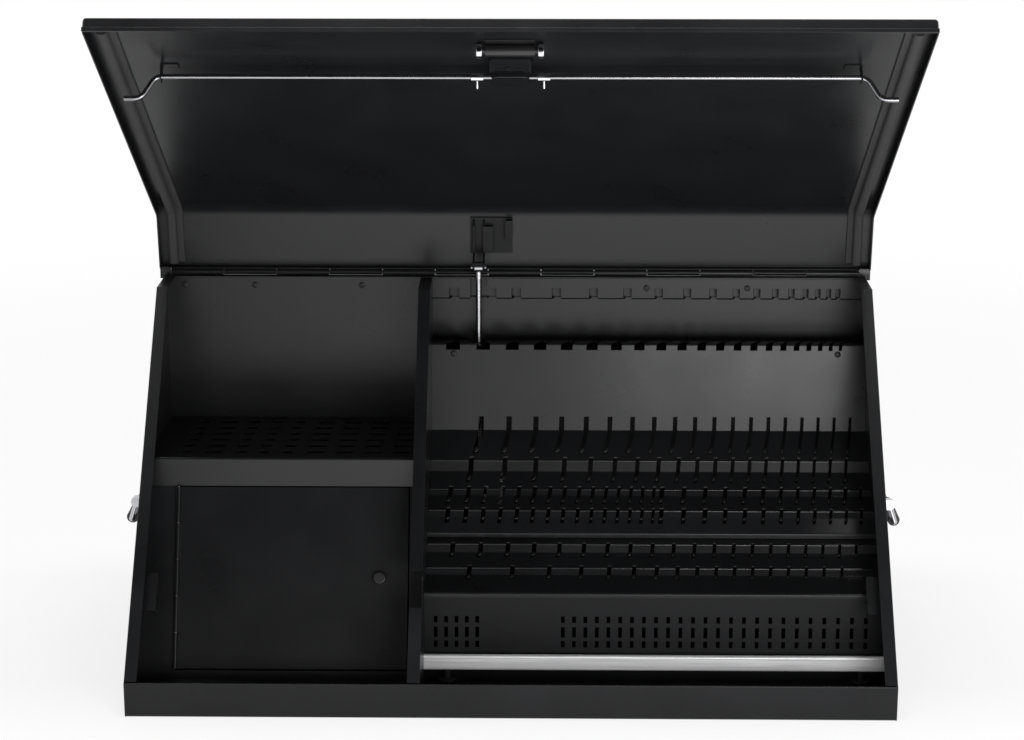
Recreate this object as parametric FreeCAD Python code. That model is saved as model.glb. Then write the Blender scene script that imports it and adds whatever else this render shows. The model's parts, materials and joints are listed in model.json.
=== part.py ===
import FreeCAD, Part
import math
import os
from collections import namedtuple

# Triangle top toolbox: a wedge-fronted steel chest with a lifting lid, a door compartment
# on the left and stepped wrench racks on the right.
# X runs to the right, Y from the front lip to the back panel, Z up.
# The origin is the centre of the flat bottom. The lid is shown open.

V = FreeCAD.Vector

# Driving dimensions in millimetres and degrees
BODY_WIDTH = 914.4
BODY_DEPTH = 425.0
LIP_HEIGHT = 43.0
REAR_HEIGHT = 443.2
FLAT_DEPTH = 75.6
SHEET = 1.5
BEND_RADIUS = 1.5
HEM_WIDTH = 11.0
SIDE_FLANGE = 15.0
BACK_FLANGE = 14.0

# Lid
SEAL_SPACE = 14.0
LID_FRONT_OVERHANG = 14.0
LID_SIDE_OVERHANG = 7.3
LID_BEND_RADIUS = 25.0
LID_CORNER_RADIUS = 4.0
LID_SKIRT = 16.5
LID_HEM_WIDTH = 5.0
LID_HEM_SHEET = 1.0
LID_REAR_SKIRT = 10.7
LID_OPEN_ANGLE = 82.1

# Lid hinge
HINGE_LENGTH = 900.0
HINGE_KNUCKLES = 13
HINGE_KNUCKLE_RADIUS = 3.6
HINGE_PIN_RADIUS = 1.6
HINGE_LEAF_SHEET = 1.2
HINGE_LEAF_WIDTH = 22.0
HINGE_GAP = 0.4
HINGE_RISE = 2.8
PIN_CLEARANCE = 0.05

# Seal on the inside of the lid
SEAL_SIDE_SETBACK = 12.5
SEAL_BULB_WIDTH = 12.0
SEAL_FLAT_WIDTH = 8.0
SEAL_FLAT_THICKNESS = 3.0
SEAL_RUN_IN = 16.0
SEAL_REAR_GAP = 6.0
SEAT_GAP = 0.3

# Divider between the compartment and the racks
DIVIDER_X = -107.0
DIVIDER_FLANGE = 15.0
NOTCH_LENGTH = 48.0
NOTCH_SHIFT = 9.5
NOTCH_DEPTH = 24.0
NOTCH_RADIUS = 5.0

# Left compartment
SHELF_HEIGHT = 258.7
SHELF_FALL = 9.0
SHELF_FRONT = 207.0
SHELF_FLANGE = 36.7
SHELF_COLUMNS = ((-408.0, 14.0), (-375.0, 24.0), (-341.0, 14.0), (-311.0, 14.0),
                 (-282.0, 14.0), (-247.0, 24.0), (-211.0, 24.0), (-175.0, 24.0), (-139.0, 24.0))
SHELF_ROWS = 6
SHELF_HOLE_WIDTH = 12.0
SHELF_ROW_MARGIN = 30.0
SHELF_REAR_MARGIN = 30.0
CABLE_CUT_RADIUS = 17.0
CABLE_CUT_PLACES = (-319.0, -224.0)
DOOR_LEAN = 22.7
DOOR_SIDE_STRIP = 40.0
DOOR_POST = 18.5
DOOR_SILL = 11.0
DOOR_GAP = 1.3
DOOR_SHEET = 1.2
DOOR_DEPTH = 11.0
FRAME_RETURN = 11.7
DOOR_PIN_RADIUS = 1.5
DOOR_KNUCKLE_RADIUS = 2.5
DOOR_KNUCKLES = 5
DOOR_PIN_PROUD = 2.8
KNOB_RADIUS = 8.0
KNOB_HEIGHT = 9.0
KNOB_SETBACK = 35.0
KNOB_SHAFT_RADIUS = 3.0
CAM_SHEET = 1.5
CAM_WIDTH = 12.0
CAM_OVERLAP = 6.0

# Racks on the right: corners are depths and heights, and a nose adds the drop below it
SECOND_COMB_NOSE = (BODY_DEPTH - 57.0, 366.0)
SECOND_COMB_FALL = 9.0
RISER_FOOT = (BODY_DEPTH - 70.0, 252.0)
Nose = namedtuple("Nose", "y z drop run")
STEP_NOSES = (Nose(BODY_DEPTH - 114.0, 225.0, 14.0, 18.0), Nose(BODY_DEPTH - 148.0, 197.0, 7.0, 17.0),
              Nose(BODY_DEPTH - 182.0, 180.0, 8.0, 6.0))
STEP_LEDGE_FRONT = (BODY_DEPTH - 203.0, 156.5)
STEP_SETBACK = 4.5
LOWER_LAP = 10.0
LOWER_NOSES = (Nose(BODY_DEPTH - 222.0, 149.0, 10.0, 9.0), Nose(BODY_DEPTH - 257.0, 130.0, 8.0, 10.0))
LOWER_LEDGE_FRONT = (BODY_DEPTH - 306.0, 114.5)
LEDGE_LIP = 6.0
SLOT_SLANT = 11.0
COMB_SLOT_SLANT = 20.0
SLOT_LEAD = 5.0
SLOT_BRIDGE = 10.0
RISER_SLOT_RISE = 18.0
COMB_SLOT_REACH = 31.0
SLOT_FALL = 11.0
CUT_MARGIN = 1.0
COMB_DROP = 28.0
COMB_STANDOFF = 12.0
COMB_SLOT_HEIGHT = 15.0
BIT_PANEL_TOP = (BODY_DEPTH - 298.0, 106.0)
BIT_PANEL_FOOT = BODY_DEPTH - 307.0
BIT_ROWS = (78.0, 62.0, 47.0)
BIT_SLOT_WIDTH = 4.5
BIT_SLOT_HEIGHT = 8.0
BIT_LONG_SLOT_HEIGHT = 13.0
Row = namedtuple("Row", "left right count grade curve wide narrow")
COMB_ROWS = (Row(28.0, 486.7, 2, 1.0, 1.0, 13.0, 13.0), Row(109.0, 34.6, 15, 4.2, 1.3, 12.0, 6.0))
SECOND_ROW = Row(27.0, 35.0, 21, 3.1, 1.15, 18.0, 4.0)
RISER_ROW = Row(57.4, 26.5, 19, 1.77, 1.7, 7.0, 3.5)
STEP_ROW = Row(48.4, 32.9, 19, 2.13, 2.84, 6.5, 3.5)
THIRD_ROWS = (Row(23.2, 280.3, 15, 1.6, 1.0, 6.0, 4.0), Row(292.5, 17.6, 12, 1.47, 1.48, 6.0, 3.5))
LOWER_ROWS = (Row(29.9, 28.8, 20, 1.7, 1.53, 6.0, 3.5), Row(51.5, 50.4, 17, 2.43, 4.12, 6.0, 3.5))
BIT_LEFT = Row(14.0, 497.7, 5, 1.0, 1.0, 1.0, 1.0)
BIT_RIGHT = Row(170.0, 21.7, 25, 0.8, 1.0, 1.0, 1.0)

# Silver tool bar along the front of the racks
BAR_FRONT = BIT_PANEL_FOOT - 16.0
BAR_THICKNESS = 8.0
BAR_BOTTOM = 20.3
BAR_HEIGHT = 18.8
BAR_STEM_RADIUS = 4.2
BAR_FOOT_RADIUS = 12.0
BAR_FOOT_RISE = 6.0
BAR_FOOT_SHEET = 2.0
BAR_FOOT_INSET = 28.0

# Latch on the lid: places are measured up the slope and in from its outer face
LATCH_ROD_PLACE = 117.0
LATCH_ROD_DEPTH = 15.0
LATCH_TIP_DEPTH = 42.0
LATCH_ROD_RADIUS = 3.0
LATCH_ROD_INNER = 15.5
LATCH_JOG_START = BODY_WIDTH / 2 - 55.6
LATCH_JOG_RUN = 14.8
LATCH_TIP = BODY_WIDTH / 2 - 21.6
LATCH_TRAVEL = 7.0
ROD_CLEARANCE = 0.2
ROD_CLAMP_X = 31.0
ROD_CLAMP_LENGTH = 13.5
ROD_CLAMP_RADIUS = 5.0
SPLIT_PIN_RADIUS = 1.2
SPLIT_PIN_LENGTH = 8.0
HOUSING_HALF_WIDTH = 23.5
HOUSING_LOW = 67.5
HOUSING_HIGH = 140.5
HOUSING_DEPTH = 12.0
HOUSING_WALL = 2.0
HOUSING_RIM = 9.0
HOUSING_STRIP = 15.5
HOUSING_STRIP_DEPTH = 17.5
HOUSING_LIP_LOW = 107.0
HOUSING_LIP_HIGH = 135.0
HOUSING_LIP_DEPTH = 20.0
HOUSING_LIP_CORNER = 8.0
HOUSING_LIP_EDGE = 1.2
BOSS_PLACE = 99.5
BOSS_RADIUS = 6.0
BOSS_HEIGHT = 1.5
BARREL_RADIUS = 6.7
BARREL_PLACE = 59.0
BARREL_BASE = 2.0
BARREL_BASE_REACH = 12.0
BARREL_WEB = 6.0
BARREL_NECK_RADIUS = 4.0
BARREL_NECK_LENGTH = 3.5
BARREL_END_RADIUS = 8.5
BARREL_END_LENGTH = 6.5
PADDLE_PIN_PLACE = HOUSING_HIGH - 10.0
PADDLE_PIN_DEPTH = 4.5
PADDLE_PIN_RADIUS = 2.0
PADDLE_LOW = HOUSING_LOW + 14.0
PADDLE_SHEET = 3.0
PADDLE_LIP = 4.0
PADDLE_LIP_INSET = 3.0
PADDLE_CORNER = 2.0
LOCK_RADIUS = 8.0
LOCK_PLACE = 104.0
LOCK_PROUD = 1.6
LOCK_DEPTH = 7.0
KEY_SLOT_WIDTH = 1.6
KEY_SLOT_LENGTH = 8.0
KEY_SLOT_DEPTH = 2.0
GUIDE_X = LATCH_JOG_START - 5.6
GUIDE_WIDTH = 12.0
GUIDE_HEIGHT = 21.0
GUIDE_FOOT = 20.0

# Strikers on the side walls
STRIKER_LENGTH = 48.0
STRIKER_SHIFT = 11.0
STRIKER_CLEARANCE = 1.1
STRIKER_DEPTH = 34.0
STRIKER_SHEET = 2.5
STRIKER_LIP = 18.0
STRIKER_FLANGE = 15.0
STRIKER_NOTCH = 14.0
STRIKER_RIVET_RADIUS = 3.0
STRIKER_RIVET_HEIGHT = 1.5
STRIKER_RIVET_INSET = 10.0

# Gas strut: places are relative to the lid hinge pin with the lid open
STRUT_X = -46.5
STRUT_TOP_Y = -24.6
STRUT_TOP_Z = 12.0
STRUT_LOWER_Y = BODY_DEPTH - 27.0
STRUT_LOWER_Z = 150.0
STRUT_ROD_RADIUS = 3.3
STRUT_NECK_RADIUS = 4.2
STRUT_NECK_LENGTH = 15.0
STRUT_CYLINDER_RADIUS = 9.0
STRUT_CYLINDER_LENGTH = 195.0
STRUT_EYE_RADIUS = 7.0
STRUT_LOWER_EYE_RADIUS = 11.5
STRUT_LOWER_BORE = 7.1
STRUT_TRAVEL = 36.0
STRUT_END_WALL = 8.0
OPEN_PIVOT_Y = -3.4
OPEN_PIVOT_Z = -1.0
STRUT_EYE_WIDTH = 10.0
STUD_RADIUS = 3.0
STUD_PROUD = 2.0
STRUT_BRACKET_SHEET = 2.5
STRUT_BRACKET_WIDTH = 54.5
STRUT_BRACKET_MARGIN = 3.3
STRUT_LEG_HEIGHT = 10.0
STRUT_LEG_FLANGE = 13.5
STRUT_SIDE_FLANGE = 9.0
STRUT_EAR_CORNER = 2.0
STRUT_CUT_OUT = 22.0
STRUT_FOOT_WIDTH = 24.0
STRUT_FOOT_HEIGHT = 48.0
STRUT_ARM_HEIGHT = 28.0
STRUT_ARM_END = 12.0
STRUT_ARM_REACH = 8.0

# Drop handles on the sides
HANDLE_Y = BODY_DEPTH * 0.59
HANDLE_Z = REAR_HEIGHT * 0.463
HANDLE_SPAN = 100.0
HANDLE_DROP = 27.0
HANDLE_REACH = 9.0
HANDLE_ROD_RADIUS = 3.5
HANDLE_ARM_INSET = 7.5
HANDLE_GRIP_RADIUS = 7.5
HANDLE_GRIP_GAP = 1.0
HANDLE_GRIP_EDGE = 2.5
HANDLE_PLATE_SHEET = 2.0
HANDLE_PLATE_HEIGHT = 44.0
HANDLE_PLATE_MARGIN = 9.0
HANDLE_PLATE_CORNER = 6.0
HANDLE_PIN_REACH = 10.0
HANDLE_EAR_WALL = 3.0

SCREW_HEAD_RADIUS = 4.0
SCREW_HEAD_HEIGHT = 2.0
SHELF_SCREWS = (-432.0, -340.0, -200.0)
COMB_SCREWS = (172.0, 303.0)
RISER_SCREWS = (-78.0, 418.0)

# Derived places
HALF = BODY_WIDTH / 2
WALL = HALF - SHEET
SLOPE_TOP_Y = BODY_DEPTH - FLAT_DEPTH
SLOPE = math.atan2(REAR_HEIGHT - LIP_HEIGHT, SLOPE_TOP_Y)
UP_SLOPE = V(0, math.cos(SLOPE), math.sin(SLOPE))
INTO_BODY = V(0, math.sin(SLOPE), -math.cos(SLOPE))
LID_TOP = REAR_HEIGHT + SEAL_SPACE
LID_BEND_Y = SLOPE_TOP_Y - SEAL_SPACE * math.tan(SLOPE / 2)
LID_EDGE_Z = LID_TOP - (LID_BEND_Y + LID_FRONT_OVERHANG) * math.tan(SLOPE)
LID_EDGE = V(0, -LID_FRONT_OVERHANG, LID_EDGE_Z)
LID_HALF = HALF + LID_SIDE_OVERHANG
PIN_Y = BODY_DEPTH + HINGE_KNUCKLE_RADIUS
PIN_Z = REAR_HEIGHT + HINGE_RISE
RACK_LEFT = DIVIDER_X
RACK_RIGHT = WALL
DIVIDER_LEFT = DIVIDER_X - SHEET
FLOOR = SHEET
BACK = BODY_DEPTH - SHEET
DOOR_TOP_Z = SHELF_HEIGHT - SHELF_FLANGE
DOOR_UP = V(0, math.sin(math.radians(DOOR_LEAN)), math.cos(math.radians(DOOR_LEAN)))
DOOR_DROP = (DOOR_TOP_Z - FLOOR) / DOOR_UP.z
DOOR_LEFT = -WALL + DOOR_SIDE_STRIP + DOOR_GAP
DOOR_RIGHT = DIVIDER_LEFT - DOOR_POST - DOOR_GAP
DOOR_AXIS_X = DOOR_LEFT - DOOR_GAP / 2
STRUT_TOP = V(STRUT_X, PIN_Y + STRUT_TOP_Y, PIN_Z + STRUT_TOP_Z)
STRUT_LOWER = V(STRUT_X, STRUT_LOWER_Y, STRUT_LOWER_Z)


def box(x0, x1, y0, y1, z0, z1):
    """Block between pairs of limits given in either order."""
    low = V(min(x0, x1), min(y0, y1), min(z0, z1))
    return Part.makeBox(abs(x1 - x0), abs(y1 - y0), abs(z1 - z0), low)


def rod(start, end, radius):
    """Round bar from one point to another."""
    return Part.makeCylinder(radius, (end - start).Length, start, end - start)


def tube(start, end, radius, bore):
    """Round bar with a bore right through."""
    along = (end - start).normalize()
    return rod(start, end, radius).cut(rod(start - along, end + along, bore))


def fused(shapes):
    """One shape out of several, without leftover seams."""
    return shapes[0].fuse(list(shapes[1:])).removeSplitter()


def rounded_edges(points, radii):
    """Edges of a closed outline whose corners are rounded by the given radii."""
    joints = []
    for i, here in enumerate(points):
        if radii[i] <= 0:
            joints.append((here, None, here))
            continue
        back = (points[i - 1] - here).normalize()
        ahead = (points[(i + 1) % len(points)] - here).normalize()
        half = back.getAngle(ahead) / 2
        inward = (back + ahead).normalize()
        centre = here + inward * (radii[i] / math.sin(half))
        reach = radii[i] / math.tan(half)
        joints.append((here + back * reach, centre - inward * radii[i], here + ahead * reach))
    edges = []
    for i, (start, middle, end) in enumerate(joints):
        if middle is not None:
            edges.append(Part.Arc(start, middle, end).toShape())
        following = joints[(i + 1) % len(joints)][0]
        if (following - end).Length > 1e-6:
            edges.append(Part.LineSegment(end, following).toShape())
    return edges


def plate(points, radii, travel):
    """Solid swept from a closed outline along one straight line."""
    return Part.Face(Part.Wire(rounded_edges(points, radii))).extrude(travel)


def side_plate(corners, x0, x1, radius=0.0):
    """Solid with an outline of depths and heights, between two places across the width."""
    points = [V(x0, y, z) for y, z in corners]
    return plate(points, [radius] * len(points), V(x1 - x0, 0, 0))


def offset_line(corners, distance):
    """The same open line of corners moved to the left of its travel."""
    count = len(corners)
    normals = []
    for (y0, z0), (y1, z1) in zip(corners, corners[1:]):
        length = math.hypot(y1 - y0, z1 - z0)
        normals.append(((z0 - z1) / length, (y1 - y0) / length))
    moved = []
    for i, (y, z) in enumerate(corners):
        a = normals[max(i - 1, 0)]
        b = normals[min(i, count - 2)]
        scale = distance / (1 + a[0] * b[0] + a[1] * b[1])
        moved.append((y + (a[0] + b[0]) * scale, z + (a[1] + b[1]) * scale))
    return moved


def bent_sheet(corners, x0, x1, thickness=SHEET, radius=BEND_RADIUS):
    """Folded sheet along an open line of corners, thickened to the left of its travel."""
    other = offset_line(corners, thickness)
    near = [0.0]
    far = [0.0]
    for before, here, after in zip(corners, corners[1:], corners[2:]):
        rise = (here[0] - before[0]) * (after[1] - here[1])
        turn = rise - (here[1] - before[1]) * (after[0] - here[0])
        near.append(radius + thickness if turn > 0 else radius)
        far.append(radius if turn > 0 else radius + thickness)
    near.append(0.0)
    far.append(0.0)
    points = [V(x0, y, z) for y, z in list(corners) + other[::-1]]
    return plate(points, near + far[::-1], V(x1 - x0, 0, 0))


def graded_places(row):
    """Places and widths of a row of slots whose spacing shrinks to the right."""
    first = RACK_LEFT + row.left
    last = RACK_RIGHT - row.right
    spans = max(row.count - 2, 1)
    gaps = [1 + (row.grade - 1) * (1 - i / spans) ** row.curve for i in range(row.count - 1)]
    step = (last - first) / sum(gaps)
    places = [first]
    for gap in gaps:
        places.append(places[-1] + gap * step)
    share = 1 / (row.count - 1)
    return [(x, row.wide + (row.narrow - row.wide) * i * share) for i, x in enumerate(places)]


def slanted_slots(row, front, back, low, high, slant=SLOT_SLANT):
    """Cutters of a graded row, each slanted in plan with its back end to the right."""
    drift = (back - front) * math.tan(math.radians(slant))
    cutters = []
    for x, width in graded_places(row):
        half = width / 2
        corners = [V(x - half, front, low), V(x + half, front, low),
                   V(x + half + drift, back, low), V(x - half + drift, back, low)]
        cutters.append(plate(corners, [0.0] * 4, V(0, 0, high - low)))
    return cutters


def slope_height(y):
    """Height of the wedge front of the body at a depth."""
    return LIP_HEIGHT + y * math.tan(SLOPE)


def body_outline(inset, front, back, floor):
    """Corners of a wall that follows the wedge, set in from its sloped and flat top."""
    drop = inset / math.cos(SLOPE)
    bend = SLOPE_TOP_Y + inset * math.tan(SLOPE / 2)
    return [(front, floor), (front, slope_height(front) - drop),
            (bend, REAR_HEIGHT - inset), (back, REAR_HEIGHT - inset), (back, floor)]


def on_slope(x, place, depth):
    """Point of the closed lid, up its slope from the free edge and in from the outer face."""
    return LID_EDGE + UP_SLOPE * place + INTO_BODY * depth + V(x, 0, 0)


def slope_block(x0, x1, place0, place1, depth0, depth1):
    """Block square to the closed lid's slope."""
    corners = [on_slope(x0, place0, depth0), on_slope(x0, place1, depth0),
               on_slope(x0, place1, depth1), on_slope(x0, place0, depth1)]
    return plate(corners, [0.0] * 4, V(x1 - x0, 0, 0))


def slope_plate(half_width, place0, place1, depth0, depth1, radius):
    """Plate on the closed lid's slope with rounded corners, centred across the width."""
    corners = [on_slope(-half_width, place0, depth0), on_slope(half_width, place0, depth0),
               on_slope(half_width, place1, depth0), on_slope(-half_width, place1, depth0)]
    return plate(corners, [radius] * 4, INTO_BODY * (depth1 - depth0))


def lid_line(depth, start, end):
    """Corners of the closed lid's skin at a depth, from up the slope to the rear."""
    first = on_slope(0, start, depth)
    bend = LID_BEND_Y + depth * math.tan(SLOPE / 2)
    return [(first.y, first.z), (bend, LID_TOP - depth), (end, LID_TOP - depth)]


def opened(shape):
    """Turn a piece of the closed lid to where the lid stands open."""
    turned = shape.copy()
    turned.rotate(V(0, PIN_Y, PIN_Z), V(1, 0, 0), -LID_OPEN_ANGLE)
    return turned


def door_placed(shape):
    """Move a piece drawn upright, with the door's front face at zero depth, to the lean."""
    moved = shape.copy()
    moved.rotate(V(0, 0, 0), V(1, 0, 0), -DOOR_LEAN)
    moved.translate(V(0, SHELF_FRONT, DOOR_TOP_Z))
    return moved


def screw_head(place, outward):
    """Low round screw head with a softened rim."""
    head = Part.makeCylinder(SCREW_HEAD_RADIUS, SCREW_HEAD_HEIGHT, place, outward)
    return head.makeChamfer(SCREW_HEAD_HEIGHT / 3, [head.Edges[0]])


def base_pan():
    """Floor and front lip folded from one sheet, the lip's top edge hemmed inward."""
    line = [(0.0, LIP_HEIGHT), (0.0, 0.0), (BACK, 0.0)]
    pan = bent_sheet(line, -HALF, HALF)
    hem = box(-HALF, HALF, SHEET, 2 * SHEET, LIP_HEIGHT - HEM_WIDTH, LIP_HEIGHT)
    pan = fused([pan, hem])
    rim = [e for e in pan.Edges if e.BoundBox.ZMin > LIP_HEIGHT - 0.01 and e.Length > HALF]
    pan = pan.makeFillet(SHEET * 0.8, rim)
    for side in (-1, 1):
        pan = pan.cut(box(side * WALL, side * (HALF + 1), SHEET, BODY_DEPTH, -1, LIP_HEIGHT + 1))
    return pan


def back_panel():
    """Back wall with a flange turned in along its top."""
    line = [(BODY_DEPTH, 0.0), (BODY_DEPTH, REAR_HEIGHT), (BODY_DEPTH - BACK_FLANGE, REAR_HEIGHT)]
    panel = bent_sheet(line, -HALF, HALF)
    inner = HALF - SIDE_FLANGE
    for side in (-1, 1):
        panel = panel.cut(box(side * inner, side * (HALF + 1), 0, BACK, 0, REAR_HEIGHT + 1))
    return panel


def side_panel(side):
    """Wedge-shaped side wall with a flange turned in along its slope and top."""
    wall = side_plate(body_outline(0.0, SHEET, BACK, 0.0), side * WALL, side * HALF)
    top = body_outline(0.0, SHEET, BACK, 0.0)[1:4]
    flange = bent_sheet(top[::-1], side * (HALF - SIDE_FLANGE), side * HALF)
    panel = fused([wall, flange])
    ridge = [e for e in panel.Edges
             if abs(abs(e.CenterOfMass.x) - HALF) < 0.01 and e.CenterOfMass.z > LIP_HEIGHT + 5
             and e.BoundBox.YLength > FLAT_DEPTH / 2]
    return panel.makeFillet(SHEET * 0.8, ridge)


def divider_panel():
    """Wall between the compartment and the racks, flanged to the left, notched for the rod."""
    inset = SHEET + SEAT_GAP
    front = 2 * SHEET + SEAT_GAP
    outline = body_outline(inset, front, BACK, FLOOR)
    wall = side_plate(outline, DIVIDER_LEFT, DIVIDER_X)
    flange = bent_sheet(outline[1:4][::-1], DIVIDER_X - DIVIDER_FLANGE, DIVIDER_X)
    middle = on_slope(0, LATCH_ROD_PLACE + NOTCH_SHIFT, 0)
    start = UP_SLOPE * (-NOTCH_LENGTH / 2)
    end = UP_SLOPE * (NOTCH_LENGTH / 2)
    corners = [middle + start, middle + end,
               middle + end + INTO_BODY * (SEAL_SPACE + NOTCH_DEPTH),
               middle + start + INTO_BODY * (SEAL_SPACE + NOTCH_DEPTH)]
    corners = [c + V(DIVIDER_X - DIVIDER_FLANGE - CUT_MARGIN, 0, 0) for c in corners]
    radii = [0.0, 0.0, NOTCH_RADIUS, NOTCH_RADIUS]
    notch = plate(corners, radii, V(DIVIDER_FLANGE + 2 * CUT_MARGIN, 0, 0))
    return fused([wall, flange]).cut(notch)


def perforated_shelf():
    """Shelf of the left compartment, falling to the back, with rows of oblong holes."""
    rear = SHELF_HEIGHT - SHELF_FALL
    line = [(BACK, rear), (SHELF_FRONT, SHELF_HEIGHT), (SHELF_FRONT, DOOR_TOP_Z)]
    shelf = bent_sheet(line, -WALL, DIVIDER_LEFT)
    first = SHELF_FRONT + SHELF_ROW_MARGIN
    pitch = (BACK - SHELF_REAR_MARGIN - first) / (SHELF_ROWS - 1)
    side = SHELF_HOLE_WIDTH / 2
    low = rear - 2 * SHEET
    through = V(0, 0, SHELF_FALL + 3 * SHEET)
    cutters = []
    for i in range(SHELF_ROWS):
        y = first + i * pitch
        for x, length in SHELF_COLUMNS:
            half = length / 2
            corners = [V(x - half, y - side, low), V(x + half, y - side, low),
                       V(x + half, y + side, low), V(x - half, y + side, low)]
            cutters.append(plate(corners, [side * 0.9] * 4, through))
    for x in CABLE_CUT_PLACES:
        cutters.append(rod(V(x, BACK, low), V(x, BACK, low) + through, CABLE_CUT_RADIUS))
    return shelf.cut(cutters)


def door_knuckle_spans():
    """Heights of the door hinge's knuckles from the sill up, as pairs below the door's top."""
    low = -DOOR_DROP + DOOR_SILL + DOOR_GAP
    high = -DOOR_GAP
    pitch = (high - low) / DOOR_KNUCKLES
    return [(low + i * pitch, low + (i + 1) * pitch - DOOR_GAP / 2) for i in range(DOOR_KNUCKLES)]


def door_knuckle(low, high, side):
    """One rolled knuckle with its web on the sheet to the left or right of the pin."""
    start = V(DOOR_AXIS_X, -DOOR_PIN_PROUD, low)
    end = V(DOOR_AXIS_X, -DOOR_PIN_PROUD, high)
    edge = DOOR_AXIS_X + side * DOOR_GAP / 2
    web = box(edge + side * 3.0, DOOR_AXIS_X, -DOOR_PIN_PROUD, SHEET / 2, low, high)
    web = web.cut(box(edge, DOOR_AXIS_X - side, -DOOR_PIN_PROUD + 1.5, SHEET, low - 1, high + 1))
    barrel = rod(start, end, DOOR_KNUCKLE_RADIUS)
    bore = rod(start - V(0, 0, 1), end + V(0, 0, 1), DOOR_PIN_RADIUS + PIN_CLEARANCE)
    return barrel.fuse(web).cut(bore)


def compartment_frame():
    """Leaning door frame: a wide strip on the left, a sill and a post beside the divider."""
    low = -DOOR_DROP
    sheet = box(-WALL, DIVIDER_LEFT, 0, SHEET, low, 0)
    left = -WALL + DOOR_SIDE_STRIP
    right = DIVIDER_LEFT - DOOR_POST
    sill = low + DOOR_SILL
    sheet = sheet.cut(box(left, right, -1, SHEET + 1, sill, 1))
    returns = [box(left - SHEET, left, 0, FRAME_RETURN, sill - SHEET, 0),
               box(right, right + SHEET, 0, FRAME_RETURN, sill - SHEET, 0),
               box(left - SHEET, right + SHEET, 0, FRAME_RETURN, sill - SHEET, sill)]
    knuckles = [door_knuckle(a, b, -1) for a, b in door_knuckle_spans()[::2]]
    frame = door_placed(fused([sheet] + returns + knuckles))
    keep = box(-HALF, 0, 0, BACK, FLOOR, DOOR_TOP_Z)
    return frame.common(keep)


def compartment_door():
    """Pan-shaped door with returned edges, hinge knuckles and a bore for the knob."""
    low = -DOOR_DROP + DOOR_SILL + DOOR_GAP
    high = -DOOR_GAP
    pan = box(DOOR_LEFT, DOOR_RIGHT, 0, DOOR_DEPTH, low, high)
    hollow = box(DOOR_LEFT + DOOR_SHEET, DOOR_RIGHT - DOOR_SHEET, DOOR_SHEET, DOOR_DEPTH + 1,
                 low + DOOR_SHEET, high - DOOR_SHEET)
    pan = pan.cut(hollow)
    front = [e for e in pan.Edges if abs(e.CenterOfMass.y) < 0.01 and
             (abs(e.CenterOfMass.z - low) < 0.01 or abs(e.CenterOfMass.x - DOOR_RIGHT) < 0.01)]
    pan = pan.makeFillet(DOOR_SHEET, front)
    knuckles = [door_knuckle(a, b, 1) for a, b in door_knuckle_spans()[1::2]]
    shaft = knob_axis()
    bore = rod(shaft - V(0, 1, 0), shaft + V(0, DOOR_DEPTH, 0), KNOB_SHAFT_RADIUS + PIN_CLEARANCE)
    return door_placed(fused([pan] + knuckles).cut(bore))


def knob_axis():
    """Middle of the knob on the door's front face, before the lean."""
    return V(DOOR_RIGHT - KNOB_SETBACK, 0, (-DOOR_DROP + DOOR_SILL) / 2)


def door_hinge_pin():
    """Pin through the knuckles of the door and its frame."""
    low = -DOOR_DROP + DOOR_SILL + DOOR_GAP
    start = V(DOOR_AXIS_X, -DOOR_PIN_PROUD, low)
    end = V(DOOR_AXIS_X, -DOOR_PIN_PROUD, -DOOR_GAP)
    return door_placed(rod(start, end, DOOR_PIN_RADIUS))


def door_knob():
    """Round knob with a domed edge on a shaft through the door."""
    centre = knob_axis()
    cap = Part.makeCylinder(KNOB_RADIUS, KNOB_HEIGHT, centre - V(0, SEAT_GAP + KNOB_HEIGHT, 0), V(0, 1, 0))
    rim = [e for e in cap.Edges if e.CenterOfMass.y < centre.y - KNOB_HEIGHT / 2 and e.Closed]
    cap = cap.makeFillet(KNOB_RADIUS * 0.3, rim)
    shaft = rod(centre - V(0, SEAT_GAP, 0), centre + V(0, FRAME_RETURN + SEAT_GAP + CAM_SHEET, 0),
                KNOB_SHAFT_RADIUS)
    return door_placed(cap.fuse(shaft))


def cam_latch():
    """Flat cam on the knob's shaft, pointing up where it lets the door go."""
    centre = knob_axis() + V(0, FRAME_RETURN + SEAT_GAP, 0)
    reach = KNOB_SETBACK + DOOR_GAP + CAM_OVERLAP
    half = CAM_WIDTH / 2
    corners = [centre + V(-half, 0, -half), centre + V(half, 0, -half),
               centre + V(half, 0, reach), centre + V(-half, 0, reach)]
    cam = plate(corners, [half * 0.8] * 4, V(0, CAM_SHEET, 0))
    bore = rod(centre - V(0, 1, 0), centre + V(0, CAM_SHEET + 1, 0), KNOB_SHAFT_RADIUS)
    return door_placed(cam.cut(bore))


def upper_comb():
    """Comb under the back flange: a front plate and a ledge back to the wall, slotted."""
    top = REAR_HEIGHT - SHEET - SEAT_GAP
    low = top - COMB_DROP
    front = BACK - COMB_STANDOFF
    line = [(front, top), (front, low), (BACK, low)]
    comb = bent_sheet(line, RACK_LEFT, RACK_RIGHT)
    slots = []
    for row in COMB_ROWS:
        slots += slanted_slots(row, front - CUT_MARGIN, BACK - SHEET, low - CUT_MARGIN,
                               low + COMB_SLOT_HEIGHT, COMB_SLOT_SLANT)
    half = STRUT_CUT_OUT / 2
    slots.append(box(STRUT_X - half, STRUT_X + half, front - CUT_MARGIN, BACK - 2 * SHEET,
                     low - CUT_MARGIN, top + CUT_MARGIN))
    return comb.cut(slots)


def stepped_line(start, noses, front):
    """Corners of a flight of slotted ledges, each nose followed by a short steep drop."""
    line = list(start)
    for nose in noses:
        line += [(nose.y, nose.z), (nose.y - STEP_SETBACK, nose.z - nose.drop)]
    return line + [front, (front[0], front[1] - LEDGE_LIP)]


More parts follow.
